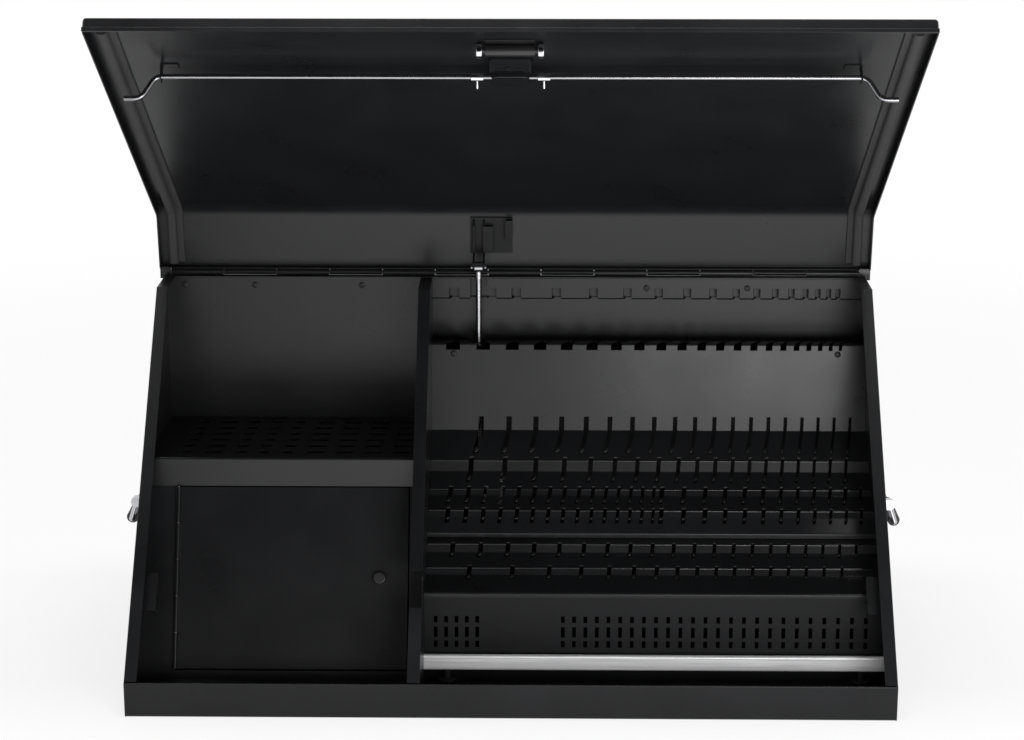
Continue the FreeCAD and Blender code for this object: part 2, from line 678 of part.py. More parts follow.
def nose_slots(row, nose):
    """Slots across one nose: from just behind it, down its drop and into the ledge below."""
    front = nose.y - STEP_SETBACK - nose.run
    low = nose.z - nose.drop - SLOT_FALL
    return slanted_slots(row, front, nose.y + SLOT_LEAD, low, nose.z + SLOT_FALL / 2)


def upper_step_rack():
    """Second comb, tall riser and three slotted steps above a plain ledge, one sheet."""
    nose_y, nose_z = SECOND_COMB_NOSE
    start = [(BACK, nose_z - SECOND_COMB_FALL), SECOND_COMB_NOSE, RISER_FOOT]
    line = stepped_line(start, STEP_NOSES, STEP_LEDGE_FRONT)
    rack = bent_sheet(line, RACK_LEFT, RACK_RIGHT)
    slots = slanted_slots(SECOND_ROW, nose_y - 2 * SHEET, nose_y + COMB_SLOT_REACH,
                          nose_z - SECOND_COMB_FALL, nose_z + SHEET + CUT_MARGIN, COMB_SLOT_SLANT)
    first, second, third = STEP_NOSES
    slots += slanted_slots(RISER_ROW, first.y + SLOT_BRIDGE, RISER_FOOT[0] + 3 * SHEET,
                           first.z, RISER_FOOT[1] + RISER_SLOT_RISE)
    slots += nose_slots(STEP_ROW, first)
    for row in THIRD_ROWS:
        slots += nose_slots(row, second) + nose_slots(row, third)
    half = STRUT_CUT_OUT / 2
    slots.append(box(STRUT_X - half, STRUT_X + half, nose_y + half, BACK + CUT_MARGIN,
                     nose_z - 2 * SECOND_COMB_FALL, nose_z + SECOND_COMB_FALL))
    return rack.cut(slots)


def lower_step_rack():
    """Lower flight of two slotted steps above a plain ledge."""
    y, z = STEP_LEDGE_FRONT
    top = (y + LOWER_LAP, z - LEDGE_LIP - SEAT_GAP)
    line = stepped_line([top], LOWER_NOSES, LOWER_LEDGE_FRONT)
    rack = bent_sheet(line, RACK_LEFT, RACK_RIGHT)
    slots = []
    for row, nose in zip(LOWER_ROWS, LOWER_NOSES):
        slots += nose_slots(row, nose)
    return rack.cut(slots)


def bit_panel():
    """Near-vertical panel below the steps with three rows of small upright slots."""
    line = [BIT_PANEL_TOP, (BIT_PANEL_FOOT, FLOOR)]
    panel = side_plate([line[0], (line[0][0] + SHEET, line[0][1]),
                        (line[1][0] + SHEET, line[1][1]), line[1]], RACK_LEFT, RACK_RIGHT)
    cutters = []
    for i, z in enumerate(BIT_ROWS):
        half = (BIT_LONG_SLOT_HEIGHT if i == 1 else BIT_SLOT_HEIGHT) / 2
        for row in (BIT_LEFT, BIT_RIGHT):
            for x, width in graded_places(row):
                side = BIT_SLOT_WIDTH / 2 * width
                cutters.append(box(x - side, x + side, 0, BACK, z - half, z + half))
    return panel.cut(cutters)


def tool_bar():
    """Bright bar with a softened face across the front of the racks."""
    bar = box(RACK_LEFT, RACK_RIGHT, BAR_FRONT, BAR_FRONT + BAR_THICKNESS,
              BAR_BOTTOM, BAR_BOTTOM + BAR_HEIGHT)
    long = [e for e in bar.Edges if e.Length > BODY_WIDTH / 3]
    return bar.makeFillet(BAR_THICKNESS * 0.3, long)


def bar_feet():
    """Two stems that carry the bar on the floor, each with a round flange near the floor."""
    y = BAR_FRONT + BAR_THICKNESS / 2
    rise = FLOOR + BAR_FOOT_RISE
    feet = []
    for x in (RACK_LEFT + BAR_FOOT_INSET, RACK_RIGHT - BAR_FOOT_INSET):
        stem = rod(V(x, y, FLOOR), V(x, y, BAR_BOTTOM), BAR_STEM_RADIUS)
        flange = rod(V(x, y, rise), V(x, y, rise + BAR_FOOT_SHEET), BAR_FOOT_RADIUS)
        feet.append(stem.fuse(flange))
    return Part.makeCompound(feet)


def panel_screws():
    """Screw heads on the back panel, the comb and the riser."""
    heads = []
    z = REAR_HEIGHT - BACK_FLANGE
    for x in SHELF_SCREWS:
        heads.append(screw_head(V(x, BACK, z), V(0, -1, 0)))
    for x in COMB_SCREWS:
        heads.append(screw_head(V(x, BACK - COMB_STANDOFF, z), V(0, -1, 0)))
    nose = V(0, *SECOND_COMB_NOSE)
    foot = V(0, *RISER_FOOT)
    down = (foot - nose).normalize()
    outward = V(0, down.z, -down.y)
    for x in RISER_SCREWS:
        heads.append(screw_head(nose + down * BACK_FLANGE + V(x, 0, 0), outward))
    return Part.makeCompound(heads)


def striker(side):
    """Bracket on a side wall that the latch rod's tip goes under, its lip notched for the rod."""
    middle = LATCH_ROD_PLACE + STRIKER_SHIFT
    low = middle - STRIKER_LENGTH / 2
    high = middle + STRIKER_LENGTH / 2
    inner = side * (LATCH_TIP - LATCH_TRAVEL + STRIKER_CLEARANCE)
    wall = side * WALL
    under = STRIKER_DEPTH + STRIKER_SHEET
    face = wall - side * STRIKER_SHEET
    top = slope_block(inner, wall, low, high, STRIKER_DEPTH, under)
    flange = slope_block(face, wall, low, high, STRIKER_DEPTH - STRIKER_FLANGE, under)
    lip = slope_block(inner, inner + side * STRIKER_SHEET, low, high,
                      STRIKER_DEPTH, STRIKER_DEPTH + STRIKER_LIP)
    half = STRIKER_NOTCH / 2
    notch = slope_block(inner - side, inner + side * 2 * STRIKER_SHEET, LATCH_ROD_PLACE - half,
                        LATCH_ROD_PLACE + half, under, under + STRIKER_LIP)
    rivets = []
    for place in (low + STRIKER_RIVET_INSET, high - STRIKER_RIVET_INSET):
        start = on_slope(face, place, STRIKER_DEPTH - STRIKER_FLANGE / 2)
        rivets.append(rod(start, start - V(side * STRIKER_RIVET_HEIGHT, 0, 0), STRIKER_RIVET_RADIUS))
    return fused([top, flange, lip.cut(notch)] + rivets)


def lid_shell():
    """Pressed lid: a rear strip, a long slope and skirts all round, hollow below."""
    rear = BODY_DEPTH
    corners = lid_line(0.0, 0.0, rear) + lid_line(LID_SKIRT, 0.0, rear)[::-1]
    radii = [BEND_RADIUS, LID_BEND_RADIUS, BEND_RADIUS, 0.0, LID_BEND_RADIUS - LID_SKIRT, 0.0]
    block = plate([V(-LID_HALF, y, z) for y, z in corners], radii, V(2 * LID_HALF, 0, 0))
    rim = []
    for e in block.Edges:
        on_side = abs(abs(e.CenterOfMass.x) - LID_HALF) < 0.01
        top = LID_TOP - 0.1 < e.BoundBox.ZMax
        above = e.CenterOfMass.z > slope_height(e.CenterOfMass.y) + SEAL_SPACE / 2
        long = e.BoundBox.YLength > FLAT_DEPTH / 2 and above
        if on_side and (long or (top and e.BoundBox.YLength > LID_CORNER_RADIUS)):
            rim.append(e)
    block = block.makeFillet(LID_CORNER_RADIUS, rim)
    below = on_slope(0, SHEET, LID_SKIRT + SHEET)
    void = lid_line(SHEET, SHEET, rear - SHEET) + [(rear - SHEET, 0.0), (below.y, below.z)]
    inside = LID_HALF - SHEET
    hollow = plate([V(-inside, y, z) for y, z in void], [0.0, LID_BEND_RADIUS - SHEET, 0.0, 0.0, 0.0],
                   V(2 * inside, 0, 0))
    under_rear = box(-inside, inside, rear - 2 * SHEET, rear + 1, 0, LID_TOP - LID_REAR_SKIRT)
    window = slope_plate(HOUSING_HALF_WIDTH + SEAT_GAP, HOUSING_LOW - SEAT_GAP, HOUSING_HIGH + SEAT_GAP,
                         -1, SHEET + 1, LID_CORNER_RADIUS)
    corners = [on_slope(-LID_HALF, place, depth) for place, depth in (
        (-LID_HEM_SHEET, LID_SKIRT - LID_HEM_WIDTH), (SHEET / 2, LID_SKIRT - LID_HEM_WIDTH),
        (SHEET / 2, LID_SKIRT), (-LID_HEM_SHEET, LID_SKIRT))]
    edge = LID_HEM_SHEET * 0.45
    hem = plate(corners, [edge, 0.0, 0.0, edge], V(2 * LID_HALF, 0, 0))
    return opened(fused([block.cut([hollow, under_rear, window]), hem]))


def seal_strip(x0, x1, depth, bend):
    """Strip on the inner face of the closed lid, down its slope and along its rear strip."""
    rear = BACK - SEAL_REAR_GAP
    near = lid_line(SHEET, SEAL_RUN_IN, rear)
    far = lid_line(SHEET + depth, SEAL_RUN_IN, rear)
    points = [V(x0, y, z) for y, z in near + far[::-1]]
    radii = [0.0, LID_BEND_RADIUS - SHEET, 0.0, 0.0, bend, 0.0]
    return plate(points, radii, V(x1 - x0, 0, 0))


def lid_seal():
    """Two runs of bulb seal down the sides of the lid, each with a flat inner lip."""
    outer = LID_HALF - SEAL_SIDE_SETBACK
    middle = outer - SEAL_BULB_WIDTH
    inner = middle - SEAL_FLAT_WIDTH
    flat_bend = LID_BEND_RADIUS - SHEET - SEAL_FLAT_THICKNESS
    runs = []
    for side in (-1, 1):
        bulb = seal_strip(side * middle, side * outer, SEAL_SPACE - SHEET - SEAT_GAP, BEND_RADIUS + SHEET)
        flat = seal_strip(side * inner, side * middle, SEAL_FLAT_THICKNESS, flat_bend)
        runs.append(fused([bulb, flat]))
    return opened(Part.makeCompound(runs))


def knuckle_spans(parity):
    """Places across the width of every other knuckle of the lid hinge."""
    pitch = HINGE_LENGTH / HINGE_KNUCKLES
    start = -HINGE_LENGTH / 2
    spans = []
    for i in range(parity, HINGE_KNUCKLES, 2):
        spans.append((start + i * pitch + HINGE_GAP / 2, start + (i + 1) * pitch - HINGE_GAP / 2))
    return spans


def hinge_leaf(parity, low, high):
    """Leaf flat on the back of the chest or lid, rolled round the pin in alternate knuckles."""
    bare = HINGE_KNUCKLE_RADIUS + HINGE_GAP
    upward = high > PIN_Z
    near = PIN_Z + bare if upward else PIN_Z - bare
    far = high if upward else low
    half = HINGE_LENGTH / 2
    leaf = box(-half, half, BODY_DEPTH, BODY_DEPTH + HINGE_LEAF_SHEET, near, far)
    pieces = [leaf]
    for x0, x1 in knuckle_spans(parity):
        pieces.append(rod(V(x0, PIN_Y, PIN_Z), V(x1, PIN_Y, PIN_Z), HINGE_KNUCKLE_RADIUS))
        pieces.append(box(x0, x1, BODY_DEPTH, BODY_DEPTH + HINGE_LEAF_SHEET, PIN_Z, near))
    bore = rod(V(-half - 1, PIN_Y, PIN_Z), V(half + 1, PIN_Y, PIN_Z), HINGE_PIN_RADIUS + PIN_CLEARANCE)
    return fused(pieces).cut(bore)


def hinge_body_leaf():
    """Hinge leaf on the back panel, with the end knuckles."""
    return hinge_leaf(0, PIN_Z - HINGE_LEAF_WIDTH, PIN_Z)


def hinge_lid_leaf():
    """Hinge leaf on the rear skirt of the lid."""
    return opened(hinge_leaf(1, PIN_Z, LID_TOP - BEND_RADIUS))


def hinge_pin():
    """Long pin of the lid hinge."""
    half = HINGE_LENGTH / 2
    return rod(V(-half, PIN_Y, PIN_Z), V(half, PIN_Y, PIN_Z), HINGE_PIN_RADIUS)


def latch_housing():
    """Dished latch body through the lid: rim and well outside, strip, recess and lip inside."""
    width = HOUSING_HALF_WIDTH
    rim = slope_plate(width + HOUSING_RIM, HOUSING_LOW - HOUSING_RIM, HOUSING_HIGH + HOUSING_RIM,
                      -HOUSING_WALL, 0, HOUSING_RIM)
    dish = slope_plate(width, HOUSING_LOW, HOUSING_HIGH, -HOUSING_WALL, HOUSING_DEPTH, LID_CORNER_RADIUS)
    strip = slope_plate(width, HOUSING_LOW, HOUSING_LOW + HOUSING_STRIP, HOUSING_DEPTH - HOUSING_WALL,
                        HOUSING_STRIP_DEPTH, LID_CORNER_RADIUS)
    lip = slope_plate(width - HOUSING_WALL, HOUSING_LIP_LOW, HOUSING_LIP_HIGH,
                      HOUSING_DEPTH - HOUSING_WALL, HOUSING_LIP_DEPTH, HOUSING_LIP_CORNER)
    crest = [e for e in lip.Edges
             if all(abs((v.Point - LID_EDGE).dot(INTO_BODY) - HOUSING_LIP_DEPTH) < 1e-4 for v in e.Vertexes)]
    lip = lip.makeFillet(HOUSING_LIP_EDGE, crest)
    boss = rod(on_slope(0, BOSS_PLACE, HOUSING_DEPTH - HOUSING_WALL / 2),
               on_slope(0, BOSS_PLACE, HOUSING_DEPTH + BOSS_HEIGHT), BOSS_RADIUS)
    well = slope_plate(width - HOUSING_WALL, HOUSING_LOW + HOUSING_WALL, HOUSING_HIGH - HOUSING_WALL,
                       -HOUSING_WALL - 1, HOUSING_DEPTH - HOUSING_WALL, LID_CORNER_RADIUS / 2)
    rod_bore = rod(on_slope(-width - 1, LATCH_ROD_PLACE, LATCH_ROD_DEPTH),
                   on_slope(width + 1, LATCH_ROD_PLACE, LATCH_ROD_DEPTH), LATCH_ROD_RADIUS + ROD_CLEARANCE)
    pin_bore = rod(on_slope(-width - 1, PADDLE_PIN_PLACE, PADDLE_PIN_DEPTH),
                   on_slope(width + 1, PADDLE_PIN_PLACE, PADDLE_PIN_DEPTH), PADDLE_PIN_RADIUS)
    return opened(fused([rim, dish, strip, lip, boss]).cut([well, rod_bore, pin_bore]))


def barrel_axis(x):
    """Point on the axis of the spring barrel of the closed lid."""
    return on_slope(x, BARREL_PLACE, SHEET + BARREL_BASE + BARREL_RADIUS)


def latch_barrel():
    """Round spring barrel above the housing, on its base plate, with necks at its ends."""
    width = HOUSING_HALF_WIDTH + BARREL_BASE_REACH / 3
    low = BARREL_PLACE - BARREL_BASE_REACH
    base = slope_block(-width, width, low, HOUSING_LOW - HOUSING_WALL, SHEET, SHEET + BARREL_BASE)
    half = BARREL_WEB / 2
    depth = SHEET + BARREL_BASE
    web = slope_block(-width, width, BARREL_PLACE - half, BARREL_PLACE + half, SHEET + 1,
                      depth + BARREL_RADIUS)
    barrel = rod(barrel_axis(-width), barrel_axis(width), BARREL_RADIUS)
    neck = width + BARREL_NECK_LENGTH
    necks = rod(barrel_axis(-neck), barrel_axis(neck), BARREL_NECK_RADIUS)
    return opened(fused([base, barrel, web, necks]))


def barrel_ends():
    """Bright round caps on the necks of the spring barrel."""
    start = HOUSING_HALF_WIDTH + BARREL_BASE_REACH / 3 + BARREL_NECK_LENGTH
    caps = []
    for side in (-1, 1):
        inner = barrel_axis(side * start)
        cap = rod(inner, inner + V(side * BARREL_END_LENGTH, 0, 0), BARREL_END_RADIUS)
        rims = [e for e in cap.Edges if e.Closed and e.Length > BARREL_END_RADIUS]
        caps.append(opened(cap.makeFillet(1.0, rims)))
    return Part.makeCompound(caps)


def paddle():
    """Pull paddle in the well with a rolled barrel round its pin and a finger edge."""
    width = HOUSING_HALF_WIDTH - HOUSING_WALL - SEAT_GAP
    top = PADDLE_PIN_PLACE
    face = slope_plate(width, PADDLE_LOW, top, -SEAT_GAP, PADDLE_SHEET - SEAT_GAP, PADDLE_CORNER)
    inset = width - PADDLE_LIP_INSET
    lip = slope_block(-inset, inset, PADDLE_LOW, PADDLE_LOW + PADDLE_SHEET, 0, PADDLE_SHEET + PADDLE_LIP)
    radius = PADDLE_PIN_DEPTH + SEAT_GAP
    barrel = rod(on_slope(-width, top, PADDLE_PIN_DEPTH), on_slope(width, top, PADDLE_PIN_DEPTH), radius)
    bore = rod(on_slope(-width - 1, top, PADDLE_PIN_DEPTH), on_slope(width + 1, top, PADDLE_PIN_DEPTH),
               PADDLE_PIN_RADIUS + PIN_CLEARANCE)
    lock = rod(on_slope(0, LOCK_PLACE, -1), on_slope(0, LOCK_PLACE, PADDLE_SHEET + 1),
               LOCK_RADIUS + PIN_CLEARANCE)
    return opened(fused([face, lip, barrel]).cut([bore, lock]))


def paddle_pin():
    """Pin of the paddle, held in the walls of the housing."""
    width = HOUSING_HALF_WIDTH
    return opened(rod(on_slope(-width, PADDLE_PIN_PLACE, PADDLE_PIN_DEPTH),
                      on_slope(width, PADDLE_PIN_PLACE, PADDLE_PIN_DEPTH), PADDLE_PIN_RADIUS))


def lock_cylinder():
    """Key cylinder in the paddle with a key slot in its face."""
    body = rod(on_slope(0, LOCK_PLACE, -LOCK_PROUD), on_slope(0, LOCK_PLACE, LOCK_DEPTH), LOCK_RADIUS)
    width = KEY_SLOT_WIDTH / 2
    length = KEY_SLOT_LENGTH / 2
    slot = slope_block(-width, width, LOCK_PLACE - length, LOCK_PLACE + length,
                       -LOCK_PROUD - 1, KEY_SLOT_DEPTH - LOCK_PROUD)
    return opened(body.cut(slot))


def latch_rod(side):
    """Latch rod: straight from the housing, a jog past the guide, then the tip."""
    places = [(LATCH_ROD_INNER, LATCH_ROD_DEPTH), (LATCH_JOG_START, LATCH_ROD_DEPTH),
              (LATCH_JOG_START + LATCH_JOG_RUN, LATCH_TIP_DEPTH), (LATCH_TIP, LATCH_TIP_DEPTH)]
    points = [on_slope(side * x, LATCH_ROD_PLACE, depth) for x, depth in places]
    spans = [rod(a, b, LATCH_ROD_RADIUS) for a, b in zip(points, points[1:])]
    knees = [Part.makeSphere(LATCH_ROD_RADIUS, p) for p in points[1:3]]
    return opened(spans[0].fuse(spans[1:] + knees))


def rod_clamp(side):
    """Clamp on a latch rod with a split pin that hangs from it where the lid stands open."""
    start = on_slope(side * ROD_CLAMP_X, LATCH_ROD_PLACE, LATCH_ROD_DEPTH)
    end = start + V(side * ROD_CLAMP_LENGTH, 0, 0)
    collar = tube(start, end, ROD_CLAMP_RADIUS, LATCH_ROD_RADIUS)
    middle = (start + end) * 0.5
    hang = FreeCAD.Rotation(V(1, 0, 0), LID_OPEN_ANGLE).multVec(V(0, 0, -1))
    pin = rod(middle + hang * (LATCH_ROD_RADIUS + 1), middle + hang * (ROD_CLAMP_RADIUS + SPLIT_PIN_LENGTH),
              SPLIT_PIN_RADIUS)
    return opened(collar.fuse(pin))


def rod_guide(side):
    """Angle bracket on the lid, open at its free end, that guides the latch rod."""
    low = LATCH_ROD_PLACE - GUIDE_WIDTH / 2
    high = LATCH_ROD_PLACE + GUIDE_WIDTH / 2
    inner = side * GUIDE_X
    upright = slope_block(inner - side * SHEET, inner, low, high, SHEET, GUIDE_HEIGHT)
    foot = slope_block(inner - side * GUIDE_FOOT, inner, low, high, SHEET, 2 * SHEET)
    hole = LATCH_ROD_RADIUS + ROD_CLEARANCE
    start = inner - side * 2 * SHEET
    end = inner + side * SHEET
    bore = rod(on_slope(start, LATCH_ROD_PLACE, LATCH_ROD_DEPTH),
               on_slope(end, LATCH_ROD_PLACE, LATCH_ROD_DEPTH), hole)
    mouth = slope_block(start, end, LATCH_ROD_PLACE - hole, LATCH_ROD_PLACE + hole,
                        LATCH_ROD_DEPTH, GUIDE_HEIGHT + 1)
    return opened(fused([upright, foot]).cut([bore, mouth]))


def closed_strut_top():
    """Upper stud of the strut with the lid closed."""
    stud = Part.Vertex(STRUT_TOP)
    stud.rotate(V(0, PIN_Y, PIN_Z), V(1, 0, 0), LID_OPEN_ANGLE)
    return stud.Point


def strut_lid_bracket():
    """Bracket on the lid's rear strip: a base plate, two ears that hold the stud, a third leg."""
    stud = closed_strut_top()
    skin = LID_TOP - SHEET
    sheet = STRUT_BRACKET_SHEET
    front = LID_BEND_Y + LID_BEND_RADIUS / 2
    rear = stud.y - 3 * STUD_RADIUS
    gap = STRUT_EYE_WIDTH / 2 + SEAT_GAP
    left = STRUT_X - gap - sheet
    edge = left - STRUT_BRACKET_MARGIN
    right = edge + STRUT_BRACKET_WIDTH
    low = skin - STRUT_LEG_HEIGHT
    turn = stud.y - 4 * STUD_RADIUS
    pieces = [box(edge, right, front, rear, skin - sheet, skin)]
    profile = [(front, skin), (rear, skin), (rear, REAR_HEIGHT - 2), (stud.y + 5.5, stud.z),
               (stud.y, stud.z - 6.5), (stud.y - 7, stud.z - 4), (turn, low), (front + STRUT_LEG_HEIGHT, low)]
    corner = STRUT_EAR_CORNER
    radii = [0.0, 0.0, corner, 3.0, 3.0, corner, corner, corner]
    for x in (left, STRUT_X + gap):
        pieces.append(plate([V(x, y, z) for y, z in profile], radii, V(sheet, 0, 0)))
    middle = STRUT_X + gap
    pieces.append(box(middle, middle + STRUT_LEG_FLANGE, front + STRUT_LEG_HEIGHT, turn - corner,
                      low, low + sheet))
    short = rear - 2 * STRUT_LEG_HEIGHT
    pieces.append(box(right - sheet, right, front + corner, short, low, skin))
    pieces.append(box(right - STRUT_SIDE_FLANGE, right, front + corner, short, low, low + sheet))
    hole = rod(V(left - 1, stud.y, stud.z), V(left + STRUT_BRACKET_WIDTH, stud.y, stud.z), STUD_RADIUS)
    return opened(fused(pieces).cut(hole))


def strut_stud():
    """Upper stud of the strut, held in the ears of the lid bracket."""
    reach = STRUT_EYE_WIDTH / 2 + SEAT_GAP + STRUT_BRACKET_SHEET + STUD_PROUD
    return rod(STRUT_TOP - V(reach, 0, 0), STRUT_TOP + V(reach, 0, 0), STUD_RADIUS)


def strut_direction():
    """Direction up the strut."""
    return (STRUT_TOP - STRUT_LOWER).normalize()


def strut_rod():
    """Piston rod with an eye round the upper stud."""
    up = strut_direction()
    half = V(STRUT_EYE_WIDTH / 2, 0, 0)
    eye = rod(STRUT_TOP - half, STRUT_TOP + half, STRUT_EYE_RADIUS)
    start = STRUT_LOWER + up * (STRUT_LOWER_EYE_RADIUS + STRUT_END_WALL + STRUT_TRAVEL)
    shaft = rod(start, STRUT_TOP - up * (STRUT_EYE_RADIUS - 2), STRUT_ROD_RADIUS)
    neck = rod(STRUT_TOP - up * STRUT_NECK_LENGTH, STRUT_TOP - up * STUD_RADIUS, STRUT_NECK_RADIUS)
    bore = rod(STRUT_TOP - half * 2, STRUT_TOP + half * 2, STUD_RADIUS + PIN_CLEARANCE)
    return fused([eye, shaft, neck]).cut(bore)


def strut_cylinder():
    """Pressure tube round the rod with a large eye at its lower end."""
    up = strut_direction()
    half = V(STRUT_EYE_WIDTH / 2, 0, 0)
    eye = rod(STRUT_LOWER - half, STRUT_LOWER + half, STRUT_LOWER_EYE_RADIUS)
    start = STRUT_LOWER + up * (STRUT_LOWER_EYE_RADIUS - 1)
    body = rod(start, start + up * STRUT_CYLINDER_LENGTH, STRUT_CYLINDER_RADIUS)
    hollow = rod(start + up * STRUT_END_WALL, start + up * (STRUT_CYLINDER_LENGTH + 1),
                 STRUT_ROD_RADIUS + ROD_CLEARANCE)
    bore = rod(STRUT_LOWER - half * 2, STRUT_LOWER + half * 2, STRUT_LOWER_BORE)
    return eye.fuse(body).cut([hollow, bore])


def strut_body_bracket():
    """Angle on the back panel with the lower pin of the strut."""
    sheet = STRUT_BRACKET_SHEET
    gap = STRUT_EYE_WIDTH / 2 + 2
    right = STRUT_X + gap
    y = STRUT_LOWER_Y + OPEN_PIVOT_Y
    z = STRUT_LOWER_Z + OPEN_PIVOT_Z
    foot = box(right, right + STRUT_FOOT_WIDTH, BACK - sheet, BACK,
               z - STRUT_FOOT_HEIGHT / 2, z + STRUT_FOOT_HEIGHT / 2)
    tall = STRUT_ARM_HEIGHT / 2
    short = STRUT_ARM_END / 2
    end = y - STRUT_ARM_REACH
    ear = side_plate([(BACK, z - tall), (BACK, z + tall), (end, z + short), (end, z - short)],
                     right, right + sheet)
    pin = rod(V(right, y, z), V(STRUT_X - gap, y, z), STUD_RADIUS)
    return fused([foot, ear, pin])


def handle_place(side, reach, y, z):
    """Point beside a side wall, at a reach from its outer face."""
    return V(side * (HALF + reach), HANDLE_Y + y, HANDLE_Z + z)


def handle_plate(side):
    """Backing plate of a drop handle with two pivot ears."""
    half = HANDLE_SPAN / 2 + HANDLE_PLATE_MARGIN
    top = HANDLE_PLATE_HEIGHT * 0.3
    foot = top - HANDLE_PLATE_HEIGHT
    corners = [handle_place(side, 0, -half, foot), handle_place(side, 0, half, foot),
               handle_place(side, 0, half, top), handle_place(side, 0, -half, top)]
    pieces = [plate(corners, [HANDLE_PLATE_CORNER] * 4, V(side * HANDLE_PLATE_SHEET, 0, 0))]
    ear = HANDLE_ROD_RADIUS + HANDLE_EAR_WALL
    near = HANDLE_SPAN / 2 + SEAT_GAP
    far = half - SEAT_GAP
    for end in (-1, 1):
        start = handle_place(side, HANDLE_PIN_REACH, end * near, 0)
        finish = handle_place(side, HANDLE_PIN_REACH, end * far, 0)
        pieces.append(rod(start, finish, ear))
        pieces.append(box(side * HALF, start.x, start.y, finish.y, start.z - ear, start.z + ear))
    clear = rod(handle_place(side, HANDLE_PIN_REACH, -HANDLE_SPAN, 0),
                handle_place(side, HANDLE_PIN_REACH, HANDLE_SPAN, 0), HANDLE_ROD_RADIUS + PIN_CLEARANCE)
    return fused(pieces).cut(clear)


def handle_points(side):
    """Corners of a bail from one pivot down to the grip and up to the other."""
    end = HANDLE_SPAN / 2 + HANDLE_PLATE_MARGIN
    arm = HANDLE_SPAN / 2 - HANDLE_ARM_INSET
    down = -HANDLE_DROP
    out = HANDLE_PIN_REACH + HANDLE_REACH
    return [handle_place(side, HANDLE_PIN_REACH, -end, 0), handle_place(side, HANDLE_PIN_REACH, -arm, 0),
            handle_place(side, out, -arm, down), handle_place(side, out, arm, down),
            handle_place(side, HANDLE_PIN_REACH, arm, 0), handle_place(side, HANDLE_PIN_REACH, end, 0)]


def handle_bail(side):
    """Bent rod that swings in the ears and carries the grip."""
    points = handle_points(side)
    spans = [rod(a, b, HANDLE_ROD_RADIUS) for a, b in zip(points, points[1:])]
    knees = [Part.makeSphere(HANDLE_ROD_RADIUS, p) for p in points[1:-1]]
    return spans[0].fuse(spans[1:] + knees)


def handle_grip(side):
    """Moulded grip round the long side of the bail."""
    points = handle_points(side)
    middle = (points[2] + points[3]) * 0.5
    length = HANDLE_SPAN / 2 - HANDLE_ARM_INSET - HANDLE_ROD_RADIUS - HANDLE_GRIP_GAP
    half = V(0, length, 0)
    grip = rod(middle - half, middle + half, HANDLE_GRIP_RADIUS)
    grip = grip.makeFillet(HANDLE_GRIP_EDGE, [e for e in grip.Edges if e.Closed])
    return grip.cut(rod(middle - half * 2, middle + half * 2, HANDLE_ROD_RADIUS))


def sub_parts():
    """Every sub-part by its name."""
    parts = {
        "base_pan": base_pan(),
        "back_panel": back_panel(),
        "divider_panel": divider_panel(),
        "perforated_shelf": perforated_shelf(),
        "compartment_frame": compartment_frame(),
        "compartment_door": compartment_door(),
        "door_hinge_pin": door_hinge_pin(),
        "door_knob": door_knob(),
        "cam_latch": cam_latch(),
        "upper_comb": upper_comb(),
        "upper_step_rack": upper_step_rack(),
        "lower_step_rack": lower_step_rack(),
        "bit_panel": bit_panel(),
        "tool_bar": tool_bar(),
        "bar_feet": bar_feet(),
        "panel_screws": panel_screws(),
        "hinge_body_leaf": hinge_body_leaf(),
        "hinge_lid_leaf": hinge_lid_leaf(),
        "hinge_pin": hinge_pin(),
        "lid_shell": lid_shell(),
        "lid_seal": lid_seal(),
        "latch_housing": latch_housing(),
        "latch_barrel": latch_barrel(),
        "barrel_ends": barrel_ends(),
        "paddle": paddle(),
        "paddle_pin": paddle_pin(),
        "lock_cylinder": lock_cylinder(),
        "strut_lid_bracket": strut_lid_bracket(),
        "strut_stud": strut_stud(),
        "strut_rod": strut_rod(),
        "strut_cylinder": strut_cylinder(),
        "strut_body_bracket": strut_body_bracket(),
    }
    for side, name in ((-1, "left"), (1, "right")):
        parts["side_panel_" + name] = side_panel(side)
        parts["striker_" + name] = striker(side)
        parts["rod_" + name] = latch_rod(side)
        parts["rod_clamp_" + name] = rod_clamp(side)
        parts["rod_guide_" + name] = rod_guide(side)
        parts["handle_plate_" + name] = handle_plate(side)
        parts["handle_bail_" + name] = handle_bail(side)
        parts["handle_grip_" + name] = handle_grip(side)
    return parts


def main():
    """Write each sub-part to its own file, centred over the middle of the floor."""
    os.makedirs("parts", exist_ok=True)
    for name, shape in sub_parts().items():
        shape.translate(V(0, -BODY_DEPTH / 2, 0))
        shape.exportStep("parts/" + name + ".step")
        print(name, shape.isValid(), len(shape.Solids), round(shape.Volume))


main()
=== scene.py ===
"""Looks of a wedge-fronted steel toolbox with its lid open.

The chest is folded sheet under fine black powder coat, with stepped wrench racks on the right,
a perforated shelf over a small door on the left, and a latch with long rods inside the lid.
Every length is in metres, in the row frame: X right, Y from the front lip to the back, Z up.
"""

import json
import logging
import math
from dataclasses import dataclass, replace
from enum import Enum

